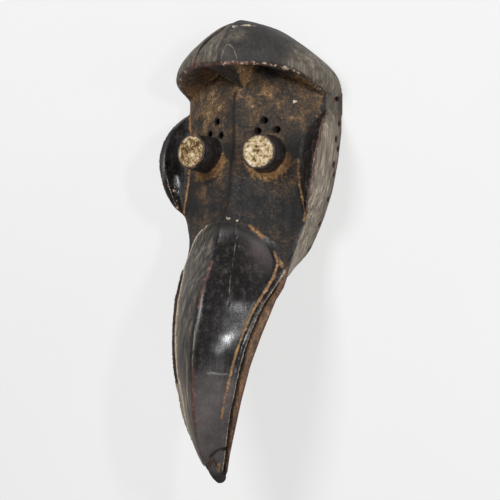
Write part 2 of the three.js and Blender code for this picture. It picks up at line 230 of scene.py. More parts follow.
lower_z = curve(
    (MOUTH_CORNER_Y, 54.5), (-20, 59.5), (-29, 66.3), (-52, 79.3), (-80, 91.2), (-104, 97.8),
    (-125, 100), (-144, 100.5), (-165, 98.3), (-186, 91.6), (-200, 84.3), (BEAK_TIP_Y, 82.2),
)
keel_z = curve(
    (MOUTH_CORNER_Y, 44), (-29, 45), (-40, 52), (-52, 59), (-80, 74), (-104, 82.5), (-125, 87),
    (-144, 89), (-165, 87.5), (-186, 83), (-200, 79.3), (BEAK_TIP_Y, 79),
)

# Vizor stations, by share of the arch from the middle, 0, to the temple, 1
ARCH = (0, 0.2, 0.4, 0.6, 0.75, 0.85, 0.94, 1)


def over_arch(*values):
    return curve(*zip(ARCH, values))


vizor_edge_x = over_arch(0, 18, 36, 54, 64, 69.8, 72.2, 71)
vizor_edge_y = over_arch(167, 167, 166, 162, 156.5, 150, 143.5, 138)
vizor_edge_z = over_arch(84, 79, 69, 56.5, 48, 40, 26, 14)
vizor_back_x = over_arch(0, 19, 39, 58.5, 69, 74.8, 78.6, 79.4)
vizor_back_y = over_arch(CROWN_Y, 198, 185.5, 171, 161.5, 154, 143, 131)
vizor_root_y = curve(
    (0, 171), (0.25, 168), (0.4, 158), (0.6, 150.5), (0.75, 145), (0.85, 141), (0.94, 138.5), (1, 135),
)
vizor_bulge = curve((0, 1.2), (0.2, 2.4), (0.6, 5.5), (0.85, 3), (1, 0))
forehead_spread = curve((0, 0), (0.03, 0.26), (0.13, 0.55), (0.3, 0.9), (0.5, 1.03), (0.75, 1.03), (1, 1))


def face_z(x, y):
    """The face's surface: a low roof from its ridge to the seam."""
    ridge = face_ridge_z(y)
    return ridge - (ridge - seam_z(y)) * roof(abs(x) / seam_x(y))


def beak_z(x, y):
    """The upper beak's surface. Above the corners of the mouth it lies a step proud of the face."""
    ridge = beak_ridge_z(y)
    own = ridge - (ridge - mouth_z(y)) * roof(abs(x) / mouth_x(np.minimum(y, MOUTH_CORNER_Y)))
    return lerp(own, face_z(x, y) + BEAK_STEP, smoothstep(y, -45, -8))


# Zones of the surface, by which the relief and the patina know where they are
ZONES = (
    "face", "flange", "wall", "back", "forehead", "lip", "recess", "tongue", "beak", "groove", "band",
    "slit", "ledge", "under", "tube", "disc", "hollow", "hole",
)
ZONE = {name: i for i, name in enumerate(ZONES)}


class Form:
    """A closed form through rings of points, each point in a named zone, with a fan over each end."""

    def __init__(self, rings, zones, end_zones=None):
        rings = np.array(rings, float)
        count, size, _ = rings.shape
        own_zones = np.array([ZONE[name] for name in zones])
        ends = [ZONE[name] for name in (end_zones or (zones[0], zones[0]))]
        self.points = np.vstack([rings.reshape(-1, 3), rings[0].mean(0), rings[-1].mean(0)])
        self.zones = np.concatenate([np.tile(own_zones, count), ends])
        here = np.arange(size)
        after = (here + 1) % size
        starts = size * np.arange(count - 1)[:, None]
        corners = [starts + here, starts + after, starts + after + size, starts + here + size]
        quads = np.stack(corners, -1).reshape(-1, 4)
        last = size * (count - 1)
        low_fan = np.column_stack([after, here, np.full(size, count * size)])
        high_fan = np.column_stack([last + here, last + after, np.full(size, count * size + 1)])
        self.triangles = np.vstack([quads[:, [0, 1, 2]], quads[:, [0, 2, 3]], low_fan, high_fan])
        if self.volume() < 0:
            self.triangles = self.triangles[:, ::-1]

    def volume(self):
        a, b, c = (self.points[self.triangles[:, i]] for i in range(3))
        return np.einsum("ij,ij->i", a, np.cross(b, c)).sum() / 6


def together(forms):
    """Several forms that don't touch, as one."""
    whole = forms[0]
    for form in forms[1:]:
        whole.triangles = np.vstack([whole.triangles, form.triangles + len(whole.points)])
        whole.points = np.vstack([whole.points, form.points])
        whole.zones = np.concatenate([whole.zones, form.zones])
    return whole


def mirrored_ring(half, y):
    """A full ring at height y from the (x, z) points of its right half, ridge to underside."""
    right = np.column_stack([half[:, 0], np.full(len(half), y), half[:, 1]])
    left = right[-2:0:-1] * (-1, 1, 1)
    return np.vstack([right, left])


def mirrored_zones(half):
    return list(half) + list(half[-2:0:-1])


def bend(start, middle, end, count):
    """Points of a bow from start to end that passes through middle, without its last point."""
    t = np.linspace(0, 1, count, endpoint=False)[:, None]
    control = 2 * np.asarray(middle) - (np.asarray(start) + np.asarray(end)) / 2
    return (1 - t) ** 2 * start + 2 * t * (1 - t) * control + t * t * end


def straight(start, end, count):
    return bend(start, (np.asarray(start) + np.asarray(end)) / 2, end, count)


def joined(*named_runs):
    """Several runs of points end to end, and the zone of each point."""
    points = np.vstack([run for _, run in named_runs])
    zones = [name for name, run in named_runs for _ in run]
    return points, zones


def head_section(y):
    seam = np.array([seam_x(y), seam_z(y)])
    top = np.array([wall_top_x(y), wall_top_z(y)])
    bottom = float(chin_z(y))
    rim = np.array([rim_x(y), bottom])
    edge = float(flange_edge(y))
    edge_inner = top - (edge, 0.15 * edge)
    dish = lerp(seam, top, np.array([0.45, 0.33]))
    across = np.linspace(0, 1, 46, endpoint=False) * seam[0]
    wall = straight(top, rim, 36)
    wall[:, 0] += np.sin(math.pi * np.linspace(0, 1, 36, endpoint=False))
    return joined(
        ("face", np.column_stack([across, face_z(across, y)])),
        ("flange", bend(seam, dish, edge_inner, 16)),
        ("flange", straight(edge_inner, top, 6)),
        ("wall", wall),
        ("back", straight(rim, (0, bottom), 40)),
        ("back", np.array([[0, bottom]])),
    )


def head_form():
    rings = []
    for y in np.arange(HEAD_LOW_Y, HEAD_HIGH_Y + 0.01, RING_STEP):
        half, zones = head_section(y)
        if y > FACE_TOP_Y:
            half[:, 0] = np.minimum(half[:, 0], max(rim_x(y) - 2, 1))
        rings.append(mirrored_ring(half, y))
    return Form(rings, mirrored_zones(zones))


def forehead_points(share, depth):
    """Points of the forehead's outer surface."""
    t = abs(share)
    spread = lerp(forehead_spread(depth), depth, smoothstep(t, 0.85, 1))
    lean = t * VIZOR_LEAN
    bulge = vizor_bulge(t) * np.sin(math.pi * depth ** 0.65)
    x = lerp(vizor_edge_x(t), vizor_back_x(t), spread) + bulge * math.sin(lean)
    y = lerp(vizor_edge_y(t), vizor_back_y(t), spread) + bulge * math.cos(lean)
    return np.column_stack([np.sign(share) * x, y, vizor_edge_z(t) * (1 - depth)])


def vizor_form():
    rings = []
    depths = np.linspace(0, 1, 90) ** 1.6
    for share in np.linspace(-1, 1, 241):
        t = abs(share)
        side = np.sign(share)
        outer = forehead_points(share, depths)
        edge = outer[0]
        lip = VIZOR_LIP * (1 - 0.35 * t)
        lean = t * VIZOR_LEAN
        under = edge + lip * np.array([-side * math.sin(lean), -math.cos(lean), -0.35])
        root_x = side * vizor_edge_x(t) * 0.93
        root_y = vizor_root_y(t)
        root = np.array([root_x, root_y, face_z(root_x, root_y) - 4])
        swell = smoothstep(t, 0.35, 0.6)
        halfway = (under + root) / 2 + (0, lerp(1.5, -1.5, swell), lerp(0, 1.5, swell))
        core = np.array([side * vizor_edge_x(t) * 0.6, VIZOR_CORE_Y, 20])
        core_back = np.array([side * vizor_back_x(t) * 0.6, VIZOR_CORE_Y, 0])
        ring, zones = joined(
            ("forehead", outer),
            ("back", straight(outer[-1], core_back, 20)[1:]),
            ("back", straight(core_back, core, 10)),
            ("face", straight(core, root, 20)),
            ("recess", bend(root, halfway, under, 24)),
            ("lip", straight(under, edge, 5)),
        )
        rings.append(ring)
    return Form(rings, zones)


def tongue_form():
    """A pointed plate that hangs from the brow. Its right side runs straight back into the recess."""
    rings = []
    base_y = float(vizor_edge_y(0)) - VIZOR_LIP + 1
    base_front = float(vizor_edge_z(0)) - 1
    tip_front = float(face_z(0, TONGUE_TIP[1])) + 0.6
    for share in [-0.25, *np.linspace(0, 0.97, 30)]:
        down = max(share, 0)
        y = lerp(base_y, TONGUE_TIP[1], share)
        front = lerp(base_front, tip_front, down) - 4 * (share < 0)
        half = TONGUE_HALF_WIDTH * (1 - down)
        back = face_z(0, y) - 6
        corners = np.array([
            (0.85 * half, front), (half, front - 4 * (1 - down)), (half * 0.8, back),
            (-half * 0.8, back), (-half, front - 2 * (1 - down)),
        ])
        runs = [straight(corners[i], corners[(i + 1) % 5], 12) for i in range(5)]
        ring = np.vstack(runs)
        x = ring[:, 0] + TONGUE_TIP[0] * down
        rings.append(np.column_stack([x, np.full(len(ring), y), ring[:, 1]]))
    return Form(rings, ["tongue"] * len(ring))


def beak_section(y):
    edge = np.array([mouth_x(y), beak_z(mouth_x(y), y)])
    is_open = y < MOUTH_CORNER_Y
    has_groove = smoothstep(y, GROOVE_END_Y - 6, GROOVE_END_Y + 6) * smoothstep(-y, -GROOVE_START_Y - 2, 8)
    groove_x = edge[0] - min(GROOVE_INSET, edge[0] * 0.2)
    fade = smoothstep(MOUTH_CORNER_Y - y, 0, 25) * smoothstep(y, -204, -190)
    slit_x = edge[0] - (min(SLIT_DEPTH, edge[0] * 0.5) * fade if is_open else 0) - 0.4
    if is_open:
        ledge_inner = edge - (0.3, SLIT_GAP * (0.2 + 0.8 * fade))
        ledge_outer = np.array([lower_x(y), min(lower_z(y), ledge_inner[1] - 0.3)])
        keel = float(keel_z(y))
        flank = min(4, abs(ledge_outer[1] - keel) * 0.4)
        slit_top = np.array([slit_x, edge[1] - 0.15 - 0.45 * fade])
        slit_foot = np.array([slit_x, ledge_inner[1] + 0.15])
    else:
        ledge_inner = edge - (0.4, 6)
        ledge_outer = edge - (0.6, 9)
        keel = 44
        flank = 3
        slit_top = np.array([slit_x, edge[1] - 3])
        slit_foot = np.array([slit_x, ledge_inner[1] - 1])
    across = np.linspace(0, groove_x - 2.6, 44, endpoint=False)
    grooved = np.linspace(groove_x - 2.6, groove_x + 1.4, 11, endpoint=False)
    dip = -1.5 * has_groove * np.exp(-((grooved - groove_x) / 0.85) ** 2)
    banded = np.linspace(groove_x + 1.4, edge[0], 10, endpoint=False)
    swell = 0.5 * has_groove * np.sin(math.pi * np.linspace(0, 1, 10, endpoint=False))
    knee = ledge_outer - (flank * 0.5, flank)
    hip = np.array([ledge_outer[0] * 0.62, lerp(ledge_outer[1] - flank, keel, 0.68)])
    return joined(
        ("beak", np.column_stack([across, beak_z(across, y)])),
        ("groove", np.column_stack([grooved, beak_z(grooved, y) + dip])),
        ("band", np.column_stack([banded, beak_z(banded, y) + swell])),
        ("slit", straight(edge, slit_top, 16)),
        ("slit", straight(slit_top, slit_foot, 3)),
        ("slit", straight(slit_foot, ledge_inner, 16)),
        ("ledge", straight(ledge_inner, ledge_outer, 9)),
        ("under", straight(ledge_outer, knee, 6)),
        ("under", bend(knee, hip, (0, keel), 34)),
        ("under", np.array([[0, keel]])),
    )


def beak_form():
    rings = []
    for y in np.arange(BEAK_TOP_Y, BEAK_TIP_Y - 0.01, -RING_STEP / 1.5):
        half, zones = beak_section(y)
        rings.append(mirrored_ring(half, y))
    return Form(rings, mirrored_zones(zones))


def tip_knob_form():
    """The blunt end of the beak's tip."""
    sides = 32
    turn = np.linspace(0, 2 * math.pi, sides, endpoint=False)
    circle = np.column_stack([np.cos(turn), np.zeros(sides), 0.85 * np.sin(turn)])
    rings = []
    for angle in np.linspace(0.05, math.pi - 0.05, 22):
        middle = np.array(TIP_KNOB) + (0, TIP_KNOB_RADIUS * math.cos(angle), 0)
        rings.append(middle + TIP_KNOB_RADIUS * math.sin(angle) * circle)
    return Form(rings, ["beak"] * sides)


def rod_form(start, direction, length, start_radius, end_radius, zone, end_zone, sides=40, count=24):
    """A round rod or cone that starts at a point and runs along a direction."""
    along = np.array(direction, float)
    along /= np.linalg.norm(along)
    across = np.cross(along, (0, 1, 0) if abs(along[1]) < 0.9 else (1, 0, 0))
    across /= np.linalg.norm(across)
    other = np.cross(along, across)
    angles = np.linspace(0, 2 * math.pi, sides, endpoint=False)[:, None]
    circle = np.cos(angles) * across + np.sin(angles) * other
    rings = []
    for share in np.linspace(0, 1, count):
        rings.append(start + along * length * share + circle * lerp(start_radius, end_radius, share))
    for share in np.linspace(0.9, 0.1, 9):
        rings.append(start + along * length + circle * end_radius * share)
    form = Form(rings, [zone] * sides, (zone, end_zone))
    form.zones[count * sides:-2] = ZONE[end_zone]
    return form


def eye_direction(side):
    """The way an eye's tube points. The two lean a little differently, as they were carved by eye."""
    lean = 0.13 if side < 0 else 0.055
    splay = math.sin(EYE_SPLAY) + (0 if side < 0 else 0.05)
    direction = np.array([side * splay, lean, math.cos(EYE_SPLAY)])
    return direction / np.linalg.norm(direction)


def eye_foot(side):
    return np.array([side * EYE_X, EYE_Y, float(face_z(EYE_X, EYE_Y))])


def eye_tube_form(side):
    direction = eye_direction(side)
    start = eye_foot(side) - direction * EYE_BURIED
    length = EYE_LENGTH + EYE_BURIED
    return rod_form(start, direction, length, EYE_BASE_RADIUS, EYE_END_RADIUS, "tube", "disc", 96, 40)


def sight_hole_form(x, y):
    start = np.array([x, y, float(face_z(x, y)) + 5])
    return rod_form(start, (0, 0, -1), 30, SIGHT_HOLE_RADIUS * 1.08, SIGHT_HOLE_RADIUS * 0.9, "hole", "hole")


def wall_hole_form(side, y, z, radius):
    slope = (rim_x(y + 2) - rim_x(y - 2)) / 4
    outward = np.array([side, -slope, 0]) / math.hypot(1, slope)
    start = np.array([side * float(rim_x(y)), y, z]) + outward * 6
    return rod_form(start, -outward, 26, radius, radius, "hole", "hole", 20)


def wall_hole_forms():
    holes = []
    for side in (-1, 1):
        holes += [wall_hole_form(side, y, RIM_HOLE_HEIGHT, RIM_HOLE_RADIUS) for y in RIM_HOLE_YS]
        holes += [wall_hole_form(side, y, TIE_HOLE_HEIGHT, TIE_HOLE_RADIUS) for y in TIE_HOLE_YS]
    return holes


def hollow_form():
    """The hollow for the wearer's face follows the face at the wall's thickness."""
    middle = (HOLLOW_LOW_Y + HOLLOW_HIGH_Y) / 2
    rings = []
    for y in np.linspace(HOLLOW_LOW_Y, HOLLOW_HIGH_Y, 150):
        share = min(abs(y - middle) / (HOLLOW_HIGH_Y - middle), 0.999)
        depth = (1 - share ** 3) ** (1 / 2.2)
        wide = min(rim_x(y) - RIM_WIDTH, rim_x(y + 13), rim_x(y - 11))
        inner = max(min(seam_x(y) - 4, wide) * 0.8, 2)

        def ceiling(x):
            return np.maximum(3, np.minimum(face_z(x, y) - HOLLOW_WALL, HOLLOW_HEIGHT) * depth)

        across = np.linspace(0, inner, 30, endpoint=False)
        shoulder = np.array([inner, ceiling(inner) * 0.93])
        hip = np.array([inner + (wide - inner) * 0.7, ceiling(inner) * 0.62])
        foot = np.array([wide, 2.0])
        top = ceiling(across) * lerp(1, 0.93, (across / inner) ** 4)
        half, zones = joined(
            ("hollow", np.column_stack([across, top])),
            ("hollow", bend(shoulder, hip, foot, 24)),
            ("hollow", straight(foot, (wide, -2.0), 4)),
            ("hollow", straight((wide, -2.0), (0, -2.0), 20)),
            ("hollow", np.array([[0, -2.0]])),
        )
        rings.append(mirrored_ring(half, y))
    return Form(rings, mirrored_zones(zones))


# Turning the forms into one fine mesh

def object_of(name, points, triangles):
    mesh = bpy.data.meshes.new(name)
    mesh.from_pydata((points * METRES).tolist(), [], triangles.tolist())
    mesh.validate()
    made = bpy.data.objects.new(name, mesh)
    bpy.context.scene.collection.objects.link(made)
    return made


def apply_modifiers(thing):
    graph = bpy.context.evaluated_depsgraph_get()
    mesh = bpy.data.meshes.new_from_object(thing.evaluated_get(graph))
    old = thing.data
    thing.modifiers.clear()
    thing.data = mesh
    bpy.data.meshes.remove(old)


def boolean(thing, form, operation):
    tool = object_of("tool", form.points, form.triangles)
    modifier = thing.modifiers.new("cut", "BOOLEAN")
    modifier.solver = "MANIFOLD"
    modifier.operation = operation
    modifier.object = tool
    apply_modifiers(thing)
    bpy.data.objects.remove(tool)


def carve(added, removed):
    """One body of the added forms, less the removed ones, with even faces about a voxel across."""
    first, *others = added
    body = object_of("kaogle_surface", first.points, first.triangles)
    for form in others:
        boolean(body, form, "UNION")
    for form in removed:
        boolean(body, form, "DIFFERENCE")
    modifier = body.modifiers.new("even", "REMESH")
    modifier.mode = "VOXEL"
    modifier.voxel_size = VOXEL * METRES
    apply_modifiers(body)
    return body


def read(elements, name, size=3, kind=float):
    """A property of a mesh's points or edges, a row for each."""
    flat = np.empty(len(elements) * size, kind)
    elements.foreach_get(name, flat)
    return flat.reshape(-1, size)


def points_of(thing):
    return read(thing.data.vertices, "co") / METRES


def normals_of(thing):
    return read(thing.data.vertex_normals, "vector")


def put_points(thing, points):
    thing.data.vertices.foreach_set("co", (points * METRES).ravel())
    thing.data.update()


class Neighbours:
    """Averages over each point's neighbours on the mesh."""

    def __init__(self, thing):
        edges = read(thing.data.edges, "vertices", 2, np.int32)
        self.a = np.concatenate([edges[:, 0], edges[:, 1]])
        self.b = np.concatenate([edges[:, 1], edges[:, 0]])
        self.size = len(thing.data.vertices)
        self.count = np.maximum(np.bincount(self.a, minlength=self.size), 1)

    def mean(self, values):
        if values.ndim == 1:
            return np.bincount(self.a, values[self.b], self.size) / self.count
        return np.column_stack([self.mean(values[:, i]) for i in range(values.shape[1])])

    def smooth(self, values, times, share=0.6):
        for _ in range(times):
            values = lerp(values, self.mean(values), share)
        return values


def zones_of(points, forms):
    """The zone of each point: that of the nearest point of the forms."""
    cloud = np.vstack([form.points for form in forms])
    labels = np.concatenate([form.zones for form in forms])
    tree = KDTree(len(cloud))
    for i, point in enumerate(cloud):
        tree.insert(point, i)
    tree.balance()
    return labels[[tree.find(point)[1] for point in points]]


# Noise, worked out on points in millimetres

def cell_key(cell):
    """A number from 0 to 4095 for each cell, which differs from cell to cell as if at random."""
    return (cell[:, 0] * 73856093 ^ cell[:, 1] * 19349663 ^ cell[:, 2] * 83492791) & 4095


def noise(points, size, seed):
    """Smooth noise from -1 to 1, in lumps of the given size, one number or one for each axis."""
    table = np.random.default_rng(seed).uniform(-1, 1, 4096)
    cells = points / size
    base = np.floor(cells).astype(np.int64)
    t = cells - base
    t = t * t * (3 - 2 * t)
    total = np.zeros(len(points))
    for corner in np.ndindex(2, 2, 2):
        share = np.prod(np.where(np.array(corner) == 1, t, 1 - t), axis=1)
        total += share * table[cell_key(base + corner)]
    return total


def rough_noise(points, size, seed, octaves=3):
    """Noise with finer noise on it."""
    layers = [noise(points, np.asarray(size) / 2 ** i, seed + i) / 2 ** i for i in range(octaves)]
    return sum(layers) / (2 - 2 ** (1 - octaves))


def scoops(points, size, seed):
    """The cuts of a gouge or knife: 0 in the middle of each cut, and up to 1 on the crests between them."""
    shifts = np.random.default_rng(seed).uniform(0, 1, (4096, 3))
    cells = points / size
    base = np.floor(cells).astype(np.int64)
    nearest = np.full(len(points), 9.0)
    for corner in np.ndindex(3, 3, 3):
        at = base + corner - 1
        nearest = np.minimum(nearest, ((cells - at - shifts[cell_key(at)]) ** 2).sum(1))
    return np.minimum(nearest, 1)


# Distances from places and from paths over the surface

def bell(distance, width):
    """1 where the distance is none, and less the greater it is."""
    return np.exp(-(distance / width) ** 2)


def distance_to_path(points, path):
    """The distance of each point from a line through the path's points, or a huge one where it is far off."""
    path = np.asarray(path, float)
    is_near = np.all((points > path.min(0) - NEARBY) & (points < path.max(0) + NEARBY), axis=1)
    near = points[is_near]
    nearest = np.full(len(near), FAR)
    for a, b in zip(path[:-1], path[1:]):
        along = np.clip((near - a) @ (b - a) / ((b - a) @ (b - a)), 0, 1)
        nearest = np.minimum(nearest, np.linalg.norm(near - a - along[:, None] * (b - a), axis=1))
    distance = np.full(len(points), FAR)
    distance[is_near] = nearest
    return distance


def distance_along(points, path, step=2.5):
    """The distance of each point from a path that is first laid on the surface."""
    path = np.asarray(path, float)
    lengths = np.linalg.norm(np.diff(path, axis=0), axis=1)
    at = np.concatenate([[0], np.cumsum(lengths)])
    stops = np.arange(0, at[-1] + step / 2, step)
    spots = np.column_stack([np.interp(stops, at, axis) for axis in path.T])
    laid = np.array([points[np.argmin(((points - spot) ** 2).sum(1))] for spot in spots])
    for _ in range(3):
        laid[1:-1] = (laid[:-2] + 2 * laid[1:-1] + laid[2:]) / 4
    return distance_to_path(points, laid)


def on_face(*places):
    """Places on the face from their x and y."""
    return [(x, y, float(face_z(x, y))) for x, y in places]


def on_beak(*places):
    """Places on the upper beak from their x and y."""
    return [(x, y, float(beak_z(abs(x), y))) for x, y in places]


def mouth_edge_path(side):
    heights = np.arange(-18, -200, -8)
    return on_beak(*[(side * float(mouth_x(y)), y) for y in heights])


def groove_path(side):
    heights = np.arange(GROOVE_START_Y, GROOVE_END_Y, -8)
    return on_beak(*[(side * (float(mouth_x(y)) - GROOVE_INSET), y) for y in heights])


def seam_path(side):
    return [(side * float(seam_x(y)), y, float(seam_z(y))) for y in np.linspace(26, FACE_TOP_Y, 24)]


def eye_offset(points, side):
    """Each point's offset from an eye tube's axis, square to the axis."""
    axis = eye_direction(side)
    offset = points - eye_foot(side)
    return offset - (offset @ axis)[:, None] * axis


def tube_foot_distance(points, side):
    """How far a point is from the ring where an eye's tube leaves the face."""
    spread = np.linalg.norm(eye_offset(points, side), axis=1) - EYE_BASE_RADIUS
    return np.hypot(spread, np.minimum(points[:, 2] - face_z(points[:, 0], points[:, 1]), 12))


def kaolin_edge(points, side):
    """Each point's distance from an eye tube's axis, and how far the white coat reaches there."""
    across = eye_offset(points, side)
    radius = np.linalg.norm(across, axis=1)
    angle = np.arctan2(across[:, 1], across[:, 0])
    ring = np.column_stack([3 * np.cos(angle), 3 * np.sin(angle), np.full(len(points), side)])
    return radius, KAOLIN_RADIUS + 0.5 * noise(ring, 1.1, 41)


# Marks that the mask has, as paths over its surface

FACE_CRACK = on_face((-2.5, 139), (-4, 120), (-2.5, 104), (-1, 90), (-0.5, 68), (0, 47), (-1.5, 27))
UNDER_BROW = on_face((6, 141), (16, 141), (28, 137))
BEAK_RIDGE = on_beak(*[(0, y) for y in range(-10, -166, -12)])
BEAK_LINE = on_beak((12, 24.5), (14.5, 8), (17, -11), (19.5, -30), (22, -48))
BEAK_SCRATCH = on_beak((11.5, -106), (17, -106), (25, -107))
TIP_CRACK = on_beak((7, -179), (9, -177), (12.7, -174), (16.5, -173))
OCHRE_RUN = on_beak((22, 22.5), (31, 14), (38, 6), (44, -3), (50, -11), (51, -16))
BASE_STEP = on_beak(
    (-52, -12), (-49.6, 4.2), (-42, 8), (-31, 17), (-14, 25), (1, 25.5), (12, 25), (25, 19), (34.3, 14),
    (45, 4), (52, -10),
)
BROW_CRACK = (
    (-34.5, 165.5, 69), (-33.2, 169.6, 70), (-30.9, 176.8, 68.5), (-27.6, 183.2, 65.4),
    (-20.8, 190.2, 62.7), (-11.2, 197.2, 59.6), (-4, 201.5, 45),
)
LEAF_SCRATCH = (
    (1.5, 166, 83), (2.2, 174, 81), (4.8, 183.4, 76.3), (11, 178, 77), (15, 171, 78.8), (16, 164, 79),
)
TONGUE_EDGE = ((-18, 163, 77), (-6, 156, 66), (4, 147, 50))
CROWN_SCUFF = ((2, 198.5, 62), (9, 199, 55), (17, 197, 50))
FLANGE_NOTCH = ((61, 32.5, 40.5), (64.5, 33.5, 38), (68, 37, 35))
FLANGE_STREAK = ((74, 96, 46.5), (78.4, 87.3, 52.6), (79.9, 74.1, 53.6), (76.8, 61.1, 49.7), (72.8, 48, 47.7))
TIP_STREAK = ((8.3, -187, 98.6), (8.1, -190, 97), (6.5, -195, 94))

# Thin cuts: the path, the width and the depth
CUTS = (
    (BEAK_LINE, 0.6, 0.3), (TIP_CRACK, 1.0, 1.8), (BEAK_SCRATCH, 0.6, 0.25), (LEAF_SCRATCH, 0.6, 0.2),
    (FLANGE_NOTCH, 1.0, 1.4),
)

# Chips: the place, how far it reaches, how deep it is and how pale its wood is
CHIPS = (
    ((48.1, 132.4, 32.1), 1.9, 0.5, 0.95),
    ((-67.5, 54.3, 48.7), 3.2, 0.9, 0.75),
    ((-66.2, 45.2, 47.3), 1.6, 0.4, 0.7),
    ((-66.4, 39.5, 46.6), 2.0, 0.4, 0.5),
    ((3.2, 27.9, 74.6), 2.0, 0.6, 0.55),
    ((6.0, 28.4, 73.6), 1.6, 0.4, 0.4),
    ((11.9, 26.4, 72.6), 2.0, 0.7, 0.8),
    ((25.0, 20.2, 69.5), 2.2, 0.8, 0.55),
    ((8.5, 55.6, 63.2), 1.2, 0.3, 0.6),
    ((13.0, 63.6, 60.3), 1.1, 0.3, 0.6),
    ((13.6, 127.2, 49.1), 2.4, 0.25, 0.4),
    ((40.0, 118.0, 41.0), 2.4, 0.3, 0.3),
)

# Dark places on the face, soot, of which the first two, beside the eye tubes, are partly the tubes' painted
# shadows: x, y, how far it reaches and how strong it is
SOOT_AND_SHADOW_SPOTS = (
    (50, 88, 12, 1.3), (-9, 88, 9, 1.2), (38, 116, 6, 0.9), (23, 106, 5, 0.7), (-30, 112, 8, 0.6),
    (4, 53, 9, 0.8), (-40, 38, 9, 0.8), (28, 42, 9, 0.8), (9, 29, 9, 0.8), (48, 30, 8, 0.6),
    (52, 112, 7, 0.8), (-14, 20, 9, 0.7), (14, 78, 7, 0.5), (-50, 108, 6, 0.5), (2, 118, 6, 0.5),
)


def chip_distances(points):
    """For each chip, the points' ragged distances from it, its reach, its depth and its paleness."""
    ragged = 1 + 0.5 * noise(points, 1.8, 71)
    for place, reach, depth, paleness in CHIPS:
        yield np.linalg.norm(points - place, axis=1) * ragged, reach, depth, paleness


def tip_break(points):
    """Where the front left of the beak's tip is broken off, from 0 to 1, and how far below its upper edge."""
    x, y, _ = points.T
    ragged = 0.5 * noise(points, 3, 75)
    below = TIP_BREAK_Y + TIP_BREAK_SLOPE * x + ragged - y
    broken = smoothstep(below, 0, 1.1) * smoothstep(ragged - x, -TIP_BREAK_X - 1, -TIP_BREAK_X + 1)
    return broken * smoothstep(y, -202, -188), below


# The carved relief

def surface_weights(thing, points, forms, times):
    """How much of each zone a point has, from 0 to 1, softened over its neighbours."""
    labels = zones_of(points, forms)
    around = Neighbours(thing)
    found = {name: around.smooth((labels == i).astype(float), times) for name, i in ZONE.items()}
    return found, around


def in_zones(weight, **shares):
    """The sum of some zones' weights, each times its own share."""
    return sum(weight[name] * share for name, share in shares.items())


def knife_cuts(points, weight):
    """The cuts of the knife, worn down outside and deeper within, where thin_out flattens most of them."""
    long_cuts = scoops(points, (10, 17, 10), 21)
    short_cuts = scoops(points, (6, 8, 6), 22)
    gouge_cuts = scoops(points, (12, 21, 12), 23)
    height = long_cuts * in_zones(
        weight, face=0.34, tube=0.136, forehead=0.17, beak=0.136, wall=0.45, under=0.45,
    )
    height += short_cuts * in_zones(weight, flange=0.34, tube=0.34, tongue=0.34, recess=0.6)
    return height + 1.1 * gouge_cuts * weight["hollow"]


def grain_relief(points, weight):
    """The grain, which runs from the crown to the beak's tip, and the face's fine pits."""
    streaks = rough_noise(points, (2.2, 42, 2.2), 31)
    fine_streaks = rough_noise(points, (1.3, 24, 1.3), 36)
    height = streaks * in_zones(weight, wall=0.24, forehead=0.12, face=0.1, tube=0.04, beak=0.06)
    height += fine_streaks * in_zones(weight, recess=0.18, ledge=0.2, hollow=0.16, under=0.12, tongue=0.12)
    return height + 0.16 * rough_noise(points, 3.2, 38) * weight["face"]


def eye_relief(points, weight):
    """The tubes' long waves, and at their ends a worn rim round a pitted, slightly sunk disc."""
    height = 0.3 * weight["tube"] * noise(points, (5, 5, 30), 45)
    for side in (-1, 1):
        radius, edge = kaolin_edge(points, side)
        own = weight["disc"] * smoothstep(abs(points[:, 0] - side * EYE_X), 26, 24)
        height -= 0.45 * own * smoothstep(radius, edge + 0.3, edge - 0.8)
        height += 0.28 * own * rough_noise(points, 2.6, 43) * (radius < KAOLIN_RADIUS)
    return height


def nibbled_edges(points, weight):
    """How far the brow's lip, the beak's root and the mouth's edge are worn back."""
    nibbles = np.clip(rough_noise(points, (5, 4, 4), 51), 0, 1)
    root = bell(distance_to_path(points, BASE_STEP), 1.6) * in_zones(weight, beak=1, groove=1)
    mouth = in_zones(weight, band=1, slit=1) * (points[:, 2] > 50)
    return nibbles * (0.7 * weight["lip"] + 1.3 * root + 0.5 * mouth)


def crack_depth(points):
    """How deep the cracks, the scratches and the flange's notch are."""
    wander = 0.8 * rough_noise(points, 7, 61)
    moved = points + wander[:, None] * (1, 0, 0)
    depth = 1.1 * bell(distance_along(moved, FACE_CRACK), 0.75) * (1 + 0.6 * noise(points, 14, 63))
    depth += 3.2 * bell(distance_along(points, BROW_CRACK), 2.0) * smoothstep(points[:, 2], 44, 54)
    for path, width, deepest in CUTS:
        depth += deepest * bell(distance_along(points, path), width)
    return depth


def carved_relief(points, weight):
    """How far the finished surface stands out from the plain form, in millimetres."""
    still = np.clip(1 - weight["back"] - 0.8 * weight["disc"] - 0.6 * weight["hole"], 0, 1)
    height = still * (0.34 * noise(points, 26, 11) + 0.14 * noise(points, 11, 12))
    height += knife_cuts(points, weight) + grain_relief(points, weight) + eye_relief(points, weight)
    height -= nibbled_edges(points, weight) + crack_depth(points)
    for distance, reach, depth, _ in chip_distances(points):
        height -= depth * smoothstep(distance, reach, reach * 0.5)
    broken, _ = tip_break(points)
    return height - broken * (TIP_BREAK_DEPTH + 0.4 * rough_noise(points, (1.4, 4, 1.4), 73))


def put_above_floor(thing, points):
    points[:, 2] = np.maximum(points[:, 2], 0)
    put_points(thing, points)


